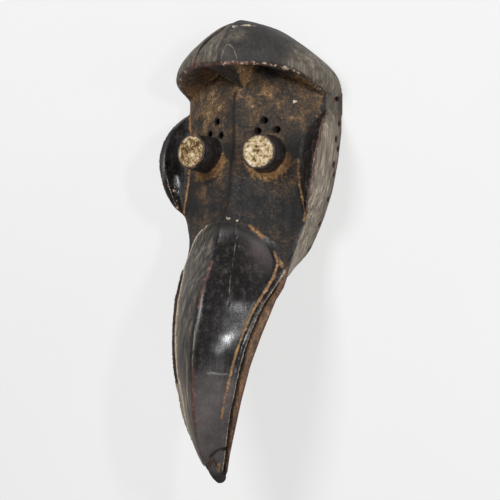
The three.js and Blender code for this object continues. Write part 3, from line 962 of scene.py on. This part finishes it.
def dress_surface(thing, forms):
    """Gives the even mesh its carved relief, and returns the zones' weights on its points."""
    points = points_of(thing)
    weight, around = surface_weights(thing, points, forms, 2)
    points = around.smooth(points, 2, 0.5)
    worn_step = bell(distance_to_path(points, BASE_STEP), 6) * smoothstep(points[:, 0], 32, 20)
    worn_slope = 0.95 * weight["beak"] * bell(points[:, 1] - BEAK_SLOPE_Y, 18)
    softened = around.smooth(points, 30)
    points = lerp(points, softened, np.maximum(worn_step, worn_slope)[:, None])
    put_points(thing, points)
    put_above_floor(thing, points + normals_of(thing) * carved_relief(points, weight)[:, None])
    return weight


def thin_out(thing, triangles, weight):
    """Fewer faces, most of all in the hollow, on the back and under the beak.

    Large flat faces replace the fine relief there.
    """
    hidden = np.clip(in_zones(weight, hollow=1, back=1, under=1, wall=0.4), 0, 1)
    group = thing.vertex_groups.new(name="plain")
    for level in range(1, 6):
        chosen = np.flatnonzero(np.round(hidden * 4) + 1 == level)
        group.add(chosen.tolist(), level / 5, "REPLACE")
    modifier = thing.modifiers.new("thin", "DECIMATE")
    modifier.ratio = triangles / (2 * len(thing.data.polygons))
    modifier.vertex_group = group.name
    modifier.vertex_group_factor = 3
    modifier.use_collapse_triangulate = True
    apply_modifiers(thing)
    thing.vertex_groups.clear()
    put_above_floor(thing, points_of(thing))


# What lies on the wood, and the light and shade painted on it: each layer's amount on the mesh's points,
# which is cut to 0 to 1

class Skin:
    """The mesh's points with what is known of each: its zones, its noises and how it lies to the marks."""

    def __init__(self, thing, forms):
        self.points = points_of(thing)
        self.normals = normals_of(thing)
        self.weight, around = surface_weights(thing, self.points, forms, 1)
        self.clouds = rough_noise(self.points, 24, 101, 4)
        self.patches = rough_noise(self.points, 13, 105, 4)
        self.specks = rough_noise(self.points, 4, 109, 3)
        far = ((around.smooth(self.points, 12) - self.points) * self.normals).sum(1)
        near = ((around.smooth(self.points, 4) - self.points) * self.normals).sum(1)
        self.sunk = np.clip(far / 0.5, 0, 1)
        self.edge = np.clip((-near - 0.16) / 0.3, 0, 1)

    def zones(self, **shares):
        return in_zones(self.weight, **shares)

    def distance(self, path):
        return distance_along(self.points, path)

    def line(self, path, width):
        """1 on a path over the surface, and less the farther away."""
        return bell(self.distance(path), width)

    def both_sides(self, path_on_side, width):
        return np.maximum(self.line(path_on_side(-1), width), self.line(path_on_side(1), width))

    def spot(self, place, reach):
        """1 at a place, and less the farther away."""
        return bell(np.linalg.norm(self.points - place, axis=1), reach)


def dust(skin):
    """Brown earth rubbed into the wood, and the stains on the eyes' kaolin."""
    x, y, _ = skin.points.T
    rubbed = 0.43 + 0.11 * smoothstep(y, 60, 125) - 0.12 * smoothstep(x, 5, 40) - 0.12 * bell(abs(x) - 2, 10)
    rubbed -= 0.19 * smoothstep(y, 70, 38)
    rubbed += 0.44 * skin.patches + 0.12 * skin.specks + 0.14 * skin.sunk
    stains = 0.5 + 0.1 * (x < 0) + 0.5 * skin.specks + 0.3 * skin.patches
    stains += 0.5 * skin.spot((36, 89, 81), 6)
    return skin.zones(
        face=rubbed, recess=0.9 * rubbed, tongue=rubbed, lip=0.8 * rubbed, tube=0.4 * rubbed, disc=stains,
    )


def ochre(skin):
    """Golden ochre that has stayed in the corners, the seams and the beak's grooves."""
    x, y, _ = skin.points.T
    feet = np.minimum(tube_foot_distance(skin.points, 1), tube_foot_distance(skin.points, -1))
    level = (0.8 * bell(feet, 4) + 0.4 * bell(feet, 9)) * (1 + 0.3 * skin.patches + 0.25 * (x < 0))
    level = level * lerp(0.1, 1.1, smoothstep(y, EYE_Y + 6, EYE_Y - 8)) * skin.zones(face=1, tube=0.4)
    upper_right = smoothstep(x, 0, 10) * smoothstep(y, 66, 84)
    level += skin.both_sides(seam_path, 1.4) * (0.8 - 0.5 * upper_right) * skin.zones(face=1, flange=1)
    level += skin.both_sides(groove_path, 1.3) * (0.85 + 0.6 * skin.patches)
    level += skin.line(OCHRE_RUN, 2.0) * smoothstep(skin.specks + skin.patches, -0.8, 0.4)
    level += skin.line(TIP_STREAK, 1.2) * 0.9
    rubbed = 0.14 * skin.sunk + 0.17 * smoothstep(skin.patches + skin.specks, 0.1, 0.9)
    rubbed += skin.line(UNDER_BROW, 7) * (0.3 + 0.5 * skin.patches)
    return level + skin.zones(
        face=rubbed, recess=0.36 + 0.6 * skin.patches, forehead=0.16 * skin.spot(BROW_STAIN, 9),
        tongue=0.5 * smoothstep(skin.normals[:, 0], 0.2, 0.6),
    )


def soot_and_shade(skin):
    """Blue-black soot: low on the face, round the eyes and over the brow, where the brow's right half is
    partly painted shade. Beside the eye tubes two spots are partly the tubes' painted shadows.
    """
    x, y, _ = skin.points.T
    level = smoothstep(-skin.clouds, -0.1, 0.4) * lerp(0.3, 1.1, smoothstep(y, 96, 44))
    # Soot spots; the first two, beside the eye tubes, are partly the tubes' painted shadows
    for spot_x, spot_y, reach, strength in SOOT_AND_SHADOW_SPOTS:
        level += strength * bell(np.hypot(x - spot_x, y - spot_y) * (1 + 0.6 * skin.patches), reach)
    # The brow's right half is darker, partly as painted shade
    brow = 0.8 * smoothstep(x, 4, 22) * smoothstep(x, 62, 46)
    return skin.zones(face=level, flange=0.4 * level, forehead=brow)


def film_and_sheen(skin):
    """A grey, lilac tone on the lower half of the beak, partly a matt film and partly painted sheen, and a
    painted bluish sheen at its root on the right.
    """
    low = smoothstep(skin.points[:, 1], -92, -130)
    level = skin.zones(beak=1, band=1, groove=1) * low * (0.72 + 0.3 * skin.clouds)
    # Painted bluish sheen at the beak's root on the right
    return level + skin.weight["beak"] * 0.6 * (skin.spot((40, -9, 67), 14) + skin.spot((30, 2, 70), 9))


def wear_and_light(skin):
    """Red-brown wood where the black is worn off: at edges, on the beak's ridge and along the brow's lip.
    Under the brow's left end it is lighter, partly as painted light in the vizor's shade.
    """
    x, y, _ = skin.points.T
    level = skin.edge * (1 - skin.weight["disc"] - skin.weight["hollow"]) * (0.9 + 0.6 * skin.specks)
    ridge = skin.line(BEAK_RIDGE, 2.4) * smoothstep(abs(y - RIDGE_UNWORN_Y), 19, 26)
    level += ridge * (0.75 + 0.4 * skin.specks)
    level += 1.2 * skin.line(BROW_CRACK, 3.4) * smoothstep(y, 184, 174) + 0.6 * skin.line(TONGUE_EDGE, 1.6)
    level += skin.line(FLANGE_STREAK, 2.6) * (0.7 + 0.6 * skin.specks)
    # Under the brow's left end: lighter, partly painted light in the vizor's shade
    under_brow = 0.34 * smoothstep(x, -18, -34) * (1 + 0.8 * skin.patches)
    return level + skin.zones(lip=0.6 + 0.8 * skin.specks, recess=under_brow)


def pale(skin):
    """Cream wood in chips and along rubbed edges, and a painted reflection on the beak's left band and low
    left edge.
    """
    x, y, _ = skin.points.T
    lip = skin.weight["lip"] * 0.4 * (0.6 + 1.2 * skin.specks + 0.4 * smoothstep(x, 10, 50))
    # Painted reflection: a cream strip on the beak's left band and along its low left edge
    strip = skin.weight["band"] * smoothstep(x, 0, -4) * smoothstep(y, -150, -100)
    strip = strip * (0.95 + 0.4 * skin.specks)
    low_edge = skin.line(mouth_edge_path(-1), 12) * smoothstep(x, 0, -3) * smoothstep(y, -104, -124)
    scuff = skin.line(CROWN_SCUFF, 2.2) * (0.6 + 1.3 * skin.specks)
    level = np.maximum.reduce([lip, strip, scuff, low_edge * (0.95 + 0.5 * skin.specks)])
    for distance, reach, _, paleness in chip_distances(skin.points):
        level = np.maximum(level, paleness * smoothstep(distance, reach, reach * 0.55))
    return level


def scratch_and_reflection(skin):
    """Thin cream lines: scratches, and along the beak's left mouth edge a painted reflection. Near a line
    this falls with the distance, so that the line stays thin and whole.
    """
    ridge = 0.76 * smoothstep(abs(skin.points[:, 1] - RIDGE_CREAM_Y), 26, 18)
    lines = (
        (LEAF_SCRATCH, 0.74), (BEAK_LINE, 0.7), (BEAK_SCRATCH, 0.7), (TONGUE_EDGE, 0.78), (BEAK_RIDGE, ridge),
        # The line along the left mouth edge is a painted reflection
        (mouth_edge_path(1), 0.9), (mouth_edge_path(-1), 0.95),
    )
    level = np.zeros(len(skin.points))
    for path, strength in lines:
        near = np.clip(1 - skin.distance(path) / 4, 0, 1)
        level = np.maximum(level, strength * (1 + 0.12 * skin.specks) * near)
    return level


def kaolin(skin):
    """The white coat on the eyes' ends, with its uneven edge."""
    level = np.zeros(len(skin.points))
    for side in (-1, 1):
        radius, edge = kaolin_edge(skin.points, side)
        own = skin.weight["disc"] * (abs(skin.points[:, 0] - side * EYE_X) < 25)
        level += own * smoothstep(radius, edge + 0.4, edge - 0.4)
    return level


def bare_and_light(skin):
    """Raw brown wood: the lower jaw's ledge, the hollow, the brow's left end, there partly painted light in
    the vizor's shade, and the break at the tip.
    """
    x = skin.points[:, 0]
    tip, below_break = tip_break(skin.points)
    level = skin.zones(
        hollow=0.55, back=0.5, hole=0.3, slit=0.4, under=0.25, lip=0.2,
        # Under the brow's left end the brown is partly painted light in the vizor's shade
        ledge=lerp(0.35, 0.85, smoothstep(x, -4, 4)), recess=0.5 * smoothstep(x, -18, -34),
    )
    return level + tip * smoothstep(below_break, 5.2, 3.4) * 0.85


def weather_and_sheen(skin):
    """Grey, dry wood and painted sheen: the side walls, partly painted sheen; the brow's left half, partly
    painted light; and the beak's left side, painted reflection.
    """
    x, y, z = skin.points.T
    # Side walls: grey wood, paler partly as painted sheen, darker towards the back rim and the top
    wall = 0.9 - 0.4 * smoothstep(z, 26, 3) - 0.3 * smoothstep(y, 100, 130)
    patch = skin.spot(BROW_STAIN, 10) + skin.spot((7, 171, 81), 6)
    # Brow: its left half lighter, partly as painted light; its far right end and the olive stain are grey
    # wood
    brow = 0.04 + 0.45 * smoothstep(x, 44, 66) + 0.34 * smoothstep(x, -1, -5)
    brow += 0.26 * patch * smoothstep(skin.patches, -0.3, 0.2)
    # Beak's left side: painted reflection, a pale strip along its edge and streaks of sheen along the grain
    strip = skin.line(mouth_edge_path(-1), lerp(13, 24, smoothstep(y, -96, -130)))
    streaked_sheen = np.clip(0.34 + rough_noise(skin.points, (2.4, 60, 2.4), 113), 0, 1) * smoothstep(x, -3, -9)
    left = np.maximum(1.1 * strip * smoothstep(x, 0, -4), 0.75 * streaked_sheen)
    return skin.zones(wall=wall, under=0.3, back=0.5, forehead=brow, beak=left, band=left, groove=left)


def gloss(skin):
    """Where the wood is black and polished."""
    return skin.zones(
        beak=1, band=1, groove=1, flange=1, forehead=0.9, tube=0.9, lip=0.4,
        tongue=0.6 * smoothstep(skin.normals[:, 0], 0.5, 0.2),
    )


def shine(skin):
    """How smooth the polish is."""
    x, y, _ = skin.points.T
    beak = (1 - 0.45 * smoothstep(y, -92, -130)) * lerp(1, 0.45, smoothstep(x, -2, -6))
    beak *= (1 - 0.5 * skin.line(BEAK_RIDGE, 1.6)) * (1 - 0.2 * skin.line(BASE_STEP, 8))
    flange = smoothstep(x, -80, -74) * (1 - skin.both_sides(seam_path, 3))
    return skin.zones(beak=beak, band=beak, groove=beak, flange=flange, tube=0.6, forehead=0.25, lip=0.3)


def grime_and_shade(skin):
    """Near black: in the cracks, on the lower jaw's left ledge, along the beak's root and at its tip, and
    painted shade in the holes, the mouth's slit, the deep of the brow, beside the eye tubes as their shadows
    and under the upper edge of the tip's break.
    """
    x, y, _ = skin.points.T
    tip, below_break = tip_break(skin.points)
    level = skin.zones(
        # Painted shade in the mouth's slit and the holes; near black on the jaw's left ledge and along the
        # beak's root
        slit=0.7, hole=0.85, ledge=0.5 * smoothstep(x, 2, -4), beak=0.95 * skin.line(BASE_STEP, 9),
        # Painted shade in the deep of the brow, under the vizor
        recess=0.05 + 0.75 * smoothstep(x, -14, 4) * smoothstep(x, 52, 36),
        # Painted shadows of the eye tubes, on the face beside them
        face=0.85 * (skin.spot((50, 88, 41), 12) + skin.spot((-9, 88, 58), 10)),
    )
    # Near black at the tip's end, and painted shade under the upper edge of the tip's break
    level += 0.9 * smoothstep(y, -191, -199) + 0.6 * tip * smoothstep(below_break, 5.2, 3.4)
    level += 1.3 * skin.line(FACE_CRACK, 1.9) * (0.8 + 0.6 * skin.patches) + 1.2 * skin.line(TIP_CRACK, 1.8)
    return level + 1.5 * skin.line(BROW_CRACK, 3.2) * smoothstep(y, 170, 178)


LAYERS = (dust, ochre, soot_and_shade, film_and_sheen, wear_and_light, pale, scratch_and_reflection, kaolin, bare_and_light, weather_and_sheen, gloss, shine, grime_and_shade)


def write_patina(thing, forms):
    """Stores each layer's amount, from 0 to 1, on the mesh's points."""
    skin = Skin(thing, forms)
    for layer in LAYERS:
        values = np.clip(layer(skin), 0, 1).astype(np.float32)
        thing.data.attributes.new(layer.__name__, "FLOAT", "POINT").data.foreach_set("value", values)


# Materials

def srgb(red, green, blue):
    """A colour from its screen values, 0 to 255."""
    parts = [value / 255 for value in (red, green, blue)]
    return [part / 12.92 if part <= 0.04045 else ((part + 0.055) / 1.055) ** 2.4 for part in parts] + [1]


class Finish:
    """A node material under construction. Its sockets may be numbers, colours or other nodes' outputs."""

    def __init__(self, name):
        self.material = bpy.data.materials.new(name)
        self.material.use_nodes = True
        self.tree = self.material.node_tree
        self.shader = self.tree.nodes["Principled BSDF"]
        self.place = self.node("TexCoord").outputs["Object"]

    def feed(self, socket, value):
        if isinstance(value, bpy.types.NodeSocket):
            self.tree.links.new(value, socket)
        else:
            socket.default_value = value

    def node(self, kind, settings=None, **inputs):
        made = self.tree.nodes.new("ShaderNode" + kind)
        for name, value in (settings or {}).items():
            setattr(made, name, value)
        for name, value in inputs.items():
            self.feed(made.inputs[name], value)
        return made

    def fed_in_order(self, made, *values):
        for socket, value in zip(made.inputs, values):
            self.feed(socket, value)
        return made.outputs[0]

    def math(self, operation, *values):
        return self.fed_in_order(self.node("Math", {"operation": operation}), *values)

    def vector(self, operation, *values):
        return self.fed_in_order(self.node("VectorMath", {"operation": operation}), *values)

    def blend_numbers(self, share, first, second):
        made = self.node("Mix", {"data_type": "FLOAT"})
        for socket, value in zip(made.inputs[:1] + made.inputs[2:4], (share, first, second)):
            self.feed(socket, value)
        return made.outputs[0]

    def mix(self, share, first, second):
        made = self.node("Mix", {"data_type": "RGBA"})
        for socket, value in zip(made.inputs[:1] + made.inputs[6:8], (share, first, second)):
            self.feed(socket, value)
        return made.outputs[2]

    def noise(self, scale, detail=4, roughness=0.6, stretch=(1, 1, 1)):
        """Noise that fills the range from 0 to 1."""
        place = self.vector("MULTIPLY", self.place, stretch)
        made = self.node("TexNoise", Vector=place, Scale=scale, Detail=detail, Roughness=roughness)
        return self.ramp(made.outputs["Fac"], 0.3, 0.7)

    def ramp(self, value, low, high, low_out=0, high_out=1):
        made = self.node("MapRange", Value=value)
        for name, number in zip(("From Min", "From Max", "To Min", "To Max"), (low, high, low_out, high_out)):
            made.inputs[name].default_value = number
        return made.outputs["Result"]

    def varied(self, amount, *textures):
        """An amount that (texture, strength) pairs push up and down."""
        for texture, strength in textures:
            amount = self.math("MULTIPLY_ADD", self.math("SUBTRACT", texture, 0.5), strength, amount)
        return amount

    def tones(self, value, *stops):
        """A colour that runs through stops, each a value and the screen's red, green and blue."""
        made = self.node("ValToRGB", Fac=value)
        elements = made.color_ramp.elements
        while len(elements) < len(stops):
            elements.new(0.5)
        for element, (at, *colour) in zip(elements, stops):
            element.position = at
            element.color = srgb(*colour)
        return made.outputs["Color"]

    def broken(self, amount, texture, softness):
        """Where an amount of something lies, if it lies first in the high parts of a texture."""
        level = self.math("MULTIPLY_ADD", amount, 1 + softness, self.math("SUBTRACT", texture, 1))
        return self.ramp(level, 0, softness)


class Wood(Finish):
    """The wood's material, with its layers' amounts and the textures that its layers share."""

    def __init__(self):
        super().__init__("patinated_wood")
        self.clouds = self.noise(38)
        self.mottle = self.noise(150)
        self.grains = self.noise(480, 3)
        self.streaks = self.noise(240, stretch=(1, 0.08, 1))
        self.fine_streaks = self.noise(700, 3, stretch=(1, 0.06, 1))
        self.fine_mix = self.blend_numbers(0.5, self.mottle, self.grains)

    def amount(self, layer):
        return self.node("Attribute", {"attribute_name": layer.__name__}).outputs["Fac"]

    def over(self, base, share, strength, tone):
        """A base with a tone over it, where the tone's share is high."""
        return self.mix(self.math("MULTIPLY", share, strength), base, tone)


def plain_and_polished(wood):
    """Earth-brown wood, and black polish where there is gloss."""
    level = wood.varied(wood.amount(dust), (wood.mottle, 0.42), (wood.grains, 0.5), (wood.fine_streaks, 0.12))
    earth = wood.tones(
        level, (0, 20, 19, 19), (0.22, 43, 37, 34), (0.42, 67, 54, 41), (0.6, 94, 73, 49),
        (0.8, 128, 100, 66), (1, 180, 148, 110),
    )
    level = wood.varied(0.42, (wood.mottle, 0.5), (wood.streaks, 0.5), (wood.grains, 0.45))
    polished = wood.tones(level, (0, 14, 12, 12), (0.5, 32, 29, 29), (0.85, 62, 57, 56), (1, 98, 92, 88))
    return wood.mix(wood.amount(gloss), earth, polished)


def with_soot_and_shade(wood, base):
    # Blue-black tones of soot and painted shade
    soot_and_shade_tones = wood.tones(wood.varied(wood.clouds, (wood.grains, 0.6)), (0, 14, 15, 17), (1, 44, 43, 46))
    share = wood.math("MULTIPLY", wood.amount(soot_and_shade), wood.ramp(wood.mottle, 0, 0.8, 0.5, 1))
    return wood.over(base, wood.math("MINIMUM", share, 1), 0.88, soot_and_shade_tones)


def with_film_and_sheen(wood, base):
    level = wood.varied(wood.clouds, (wood.grains, 0.4), (wood.fine_streaks, 0.3))
    # Grey, lilac tones of the film and its painted sheen
    return wood.over(base, wood.amount(film_and_sheen), 0.9, wood.tones(level, (0, 66, 59, 60), (1, 98, 89, 88)))


def with_weather_and_sheen(wood, base):
    level = wood.varied(0.47, (wood.streaks, 0.7), (wood.fine_streaks, 0.6))
    # Tones of grey, dry wood, which also paint sheen and light
    dry_and_sheen = wood.tones(level, (0, 76, 67, 55), (0.4, 124, 112, 96), (0.7, 160, 149, 131), (1, 214, 204, 184))
    return wood.over(base, wood.amount(weather_and_sheen), 1, dry_and_sheen)


def with_bare_wood_and_light(wood, base):
    level = wood.varied(0.5, (wood.streaks, 0.9), (wood.grains, 0.5))
    raw = wood.tones(level, (0, 44, 30, 22), (0.5, 102, 76, 54), (1, 160, 122, 88))
    # Raw brown wood, and painted light under the brow's left end
    return wood.over(base, wood.amount(bare_and_light), 1, raw)


def ochre_share(wood):
    return wood.broken(wood.amount(ochre), wood.fine_mix, 0.9)


def with_ochre(wood, base):
    level = wood.varied(0.5, (wood.grains, 0.7), (wood.mottle, 0.4))
    golden = wood.tones(level, (0, 92, 66, 40), (0.5, 146, 109, 68), (1, 196, 154, 102))
    return wood.over(base, ochre_share(wood), 0.9, golden)


def with_wear_and_light(wood, base):
    red = wood.tones(wood.mottle, (0, 54, 30, 24), (0.6, 86, 53, 43), (1, 146, 110, 97))
    # Red-brown wear, and painted light under the brow's left end
    return wood.over(base, wood.broken(wood.amount(wear_and_light), wood.fine_mix, 0.35), 0.85, red)


def with_cream(wood, base):
    # Cream chips and worn edges, and the painted reflection on the beak's left
    pale_share = wood.broken(wood.amount(pale), wood.fine_mix, 0.4)
    share = wood.math("MAXIMUM", pale_share, wood.ramp(wood.amount(scratch_and_reflection), 0.62, 0.86))
    return wood.over(base, share, 1, wood.tones(wood.grains, (0, 150, 132, 112), (1, 222, 208, 188)))


def with_kaolin(wood, base):
    level = wood.varied(1.02, (wood.grains, 0.85), (wood.mottle, 0.5))
    chalk = wood.tones(
        wood.math("SUBTRACT", level, wood.amount(dust)),
        (0, 62, 44, 24), (0.3, 126, 98, 60), (0.55, 182, 160, 120), (1, 222, 210, 184),
    )
    return wood.over(base, wood.amount(kaolin), 1, chalk)


def with_grime_and_shade(wood, base):
    # Near-black dirt and painted shade
    return wood.over(base, wood.amount(grime_and_shade), 0.92, BLACK)


def wood_roughness(wood):
    """Matt wood, smooth where it is polished, and matt again under each layer that lies on it."""
    rough = wood.varied(wood.ramp(wood.mottle, 0, 1, 0.78, 0.9), (wood.streaks, 0.2))
    polished = wood.varied(wood.ramp(wood.mottle, 0, 1, 0.21, 0.26), (wood.fine_streaks, 0.06))
    for share, own in (
        (wood.amount(shine), polished), (wood.amount(weather_and_sheen), 0.7), (wood.amount(bare_and_light), 0.8),
        (ochre_share(wood), 0.88), (wood.amount(kaolin), 0.95), (wood.amount(grime_and_shade), 1),
    ):
        rough = wood.blend_numbers(share, rough, own)
    return rough


def wood_bump(wood):
    """Fine grain, which the polish fills."""
    height = wood.math("MULTIPLY_ADD", wood.mottle, 0.3, wood.math("MULTIPLY", wood.grains, 0.25))
    height = wood.math("MULTIPLY_ADD", wood.fine_streaks, 0.2, height)
    height = wood.math("MULTIPLY_ADD", wood.math("MULTIPLY", ochre_share(wood), wood.grains), 0.3, height)
    strength = wood.ramp(wood.amount(shine), 0, 1, 0.8, 0.12)
    return wood.node("Bump", Height=height, Strength=strength, Distance=BUMP_DEPTH).outputs["Normal"]


def wood_patina():
    """Dark polished wood with soot, ochre dust, worn edges, pale scratches and a kaolin coat on the eyes,
    with painted shade, sheen, reflections and light in its colours.
    """
    wood = Wood()
    colour = plain_and_polished(wood)
    for add in (
        with_soot_and_shade, with_film_and_sheen, with_weather_and_sheen, with_bare_wood_and_light, with_ochre, with_wear_and_light, with_cream, with_kaolin,
        with_grime_and_shade,
    ):
        colour = add(wood, colour)
    wood.feed(wood.shader.inputs["Base Color"], colour)
    wood.feed(wood.shader.inputs["Roughness"], wood_roughness(wood))
    wood.feed(wood.shader.inputs["Normal"], wood_bump(wood))
    return wood.material


def floor_material():
    """A pale, smooth board that glows, so that it shows hardly any shadow."""
    board = Finish("pale_floor")
    tint = board.mix(board.noise(3, 3, 0.5), srgb(135, 135, 135), srgb(139, 139, 139))
    board.feed(board.shader.inputs["Base Color"], tint)
    board.shader.inputs["Roughness"].default_value = 0.9
    board.shader.inputs["Specular IOR Level"].default_value = 0.1
    board.shader.inputs["Emission Color"].default_value = (1, 1, 1, 1)
    offset = board.vector("SUBTRACT", board.place, (0, OVAL_MIDDLE_Y * METRES, 0))
    size = (1 / OVAL_HALF_WIDTH / METRES, 1 / OVAL_HALF_LENGTH / METRES, 0)
    scaled = board.vector("MULTIPLY", offset, size)
    length = board.node("VectorMath", {"operation": "LENGTH"})
    board.feed(length.inputs[0], scaled)
    glow = board.ramp(length.outputs["Value"], 0.85, 1, 0, FLOOR_GLOW)
    board.feed(board.shader.inputs["Emission Strength"], glow)
    return board.material


# Camera, lights and floor

def make_camera():
    data = bpy.data.cameras.new("camera")
    data.sensor_width = SENSOR
    data.lens = SENSOR * VIEW_DISTANCE / VIEW_FIELD
    camera = bpy.data.objects.new("camera", data)
    camera.matrix_world = Matrix((VIEW_RIGHT, VIEW_UP, VIEW_BACK)).transposed().to_4x4()
    camera.location = VIEW_MIDDLE + VIEW_BACK * VIEW_DISTANCE
    bpy.context.scene.collection.objects.link(camera)
    bpy.context.scene.camera = camera


def make_light(name, right, up, back, distance, width, height, watts):
    """A soft light that looks at the mask, in a direction given as the camera sees it."""
    data = bpy.data.lights.new(name, "AREA")
    data.shape = "RECTANGLE"
    data.size = width
    data.size_y = height
    data.energy = watts
    light = bpy.data.objects.new(name, data)
    away = (VIEW_RIGHT * right + VIEW_UP * up + VIEW_BACK * back).normalized()
    across = VIEW_UP.cross(away).normalized()
    light.matrix_world = Matrix((across, away.cross(across), away)).transposed().to_4x4()
    light.location = VIEW_MIDDLE + away * distance
    bpy.context.scene.collection.objects.link(light)


def make_floor():
    far = FLOOR_HALF_SIZE
    corners = np.array([(-far, -far, 0), (far, -far, 0), (far, far, 0), (-far, far, 0)])
    floor = object_of("floor", corners, np.array([(0, 1, 2, 3)]))
    floor.data.materials.append(floor_material())


def make_world():
    world = bpy.data.worlds.new("studio")
    world.use_nodes = True
    background = world.node_tree.nodes["Background"]
    background.inputs["Color"].default_value = (1, 1, 1, 1)
    background.inputs["Strength"].default_value = SKY_STRENGTH
    bpy.context.scene.world = world
    bpy.context.scene.view_settings.view_transform = "Standard"


# The mask

def make_mask():
    added = [
        head_form(), vizor_form(), tongue_form(), beak_form(), tip_knob_form(), eye_tube_form(-1),
        eye_tube_form(1),
    ]
    holes = together([sight_hole_form(x, y) for x, y in SIGHT_HOLES] + wall_hole_forms())
    removed = [hollow_form(), holes]
    heights = np.concatenate([form.points[:, 1] for form in added])
    middle_y = (heights.min() + heights.max()) / 2
    mask = carve(added, removed)
    weight = dress_surface(mask, added + removed)
    thin_out(mask, TRIANGLES, weight)
    write_patina(mask, added + removed)
    put_points(mask, points_of(mask) - (0, middle_y, 0))
    mask.data.materials.clear()
    mask.data.materials.append(wood_patina())
    mask.data.polygons.foreach_set("use_smooth", np.ones(len(mask.data.polygons), bool))
    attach(mask, "root")
    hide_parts(NODE)


make_mask()
make_camera()
make_floor()
for light in LIGHTS:
    make_light(*light)
make_world()
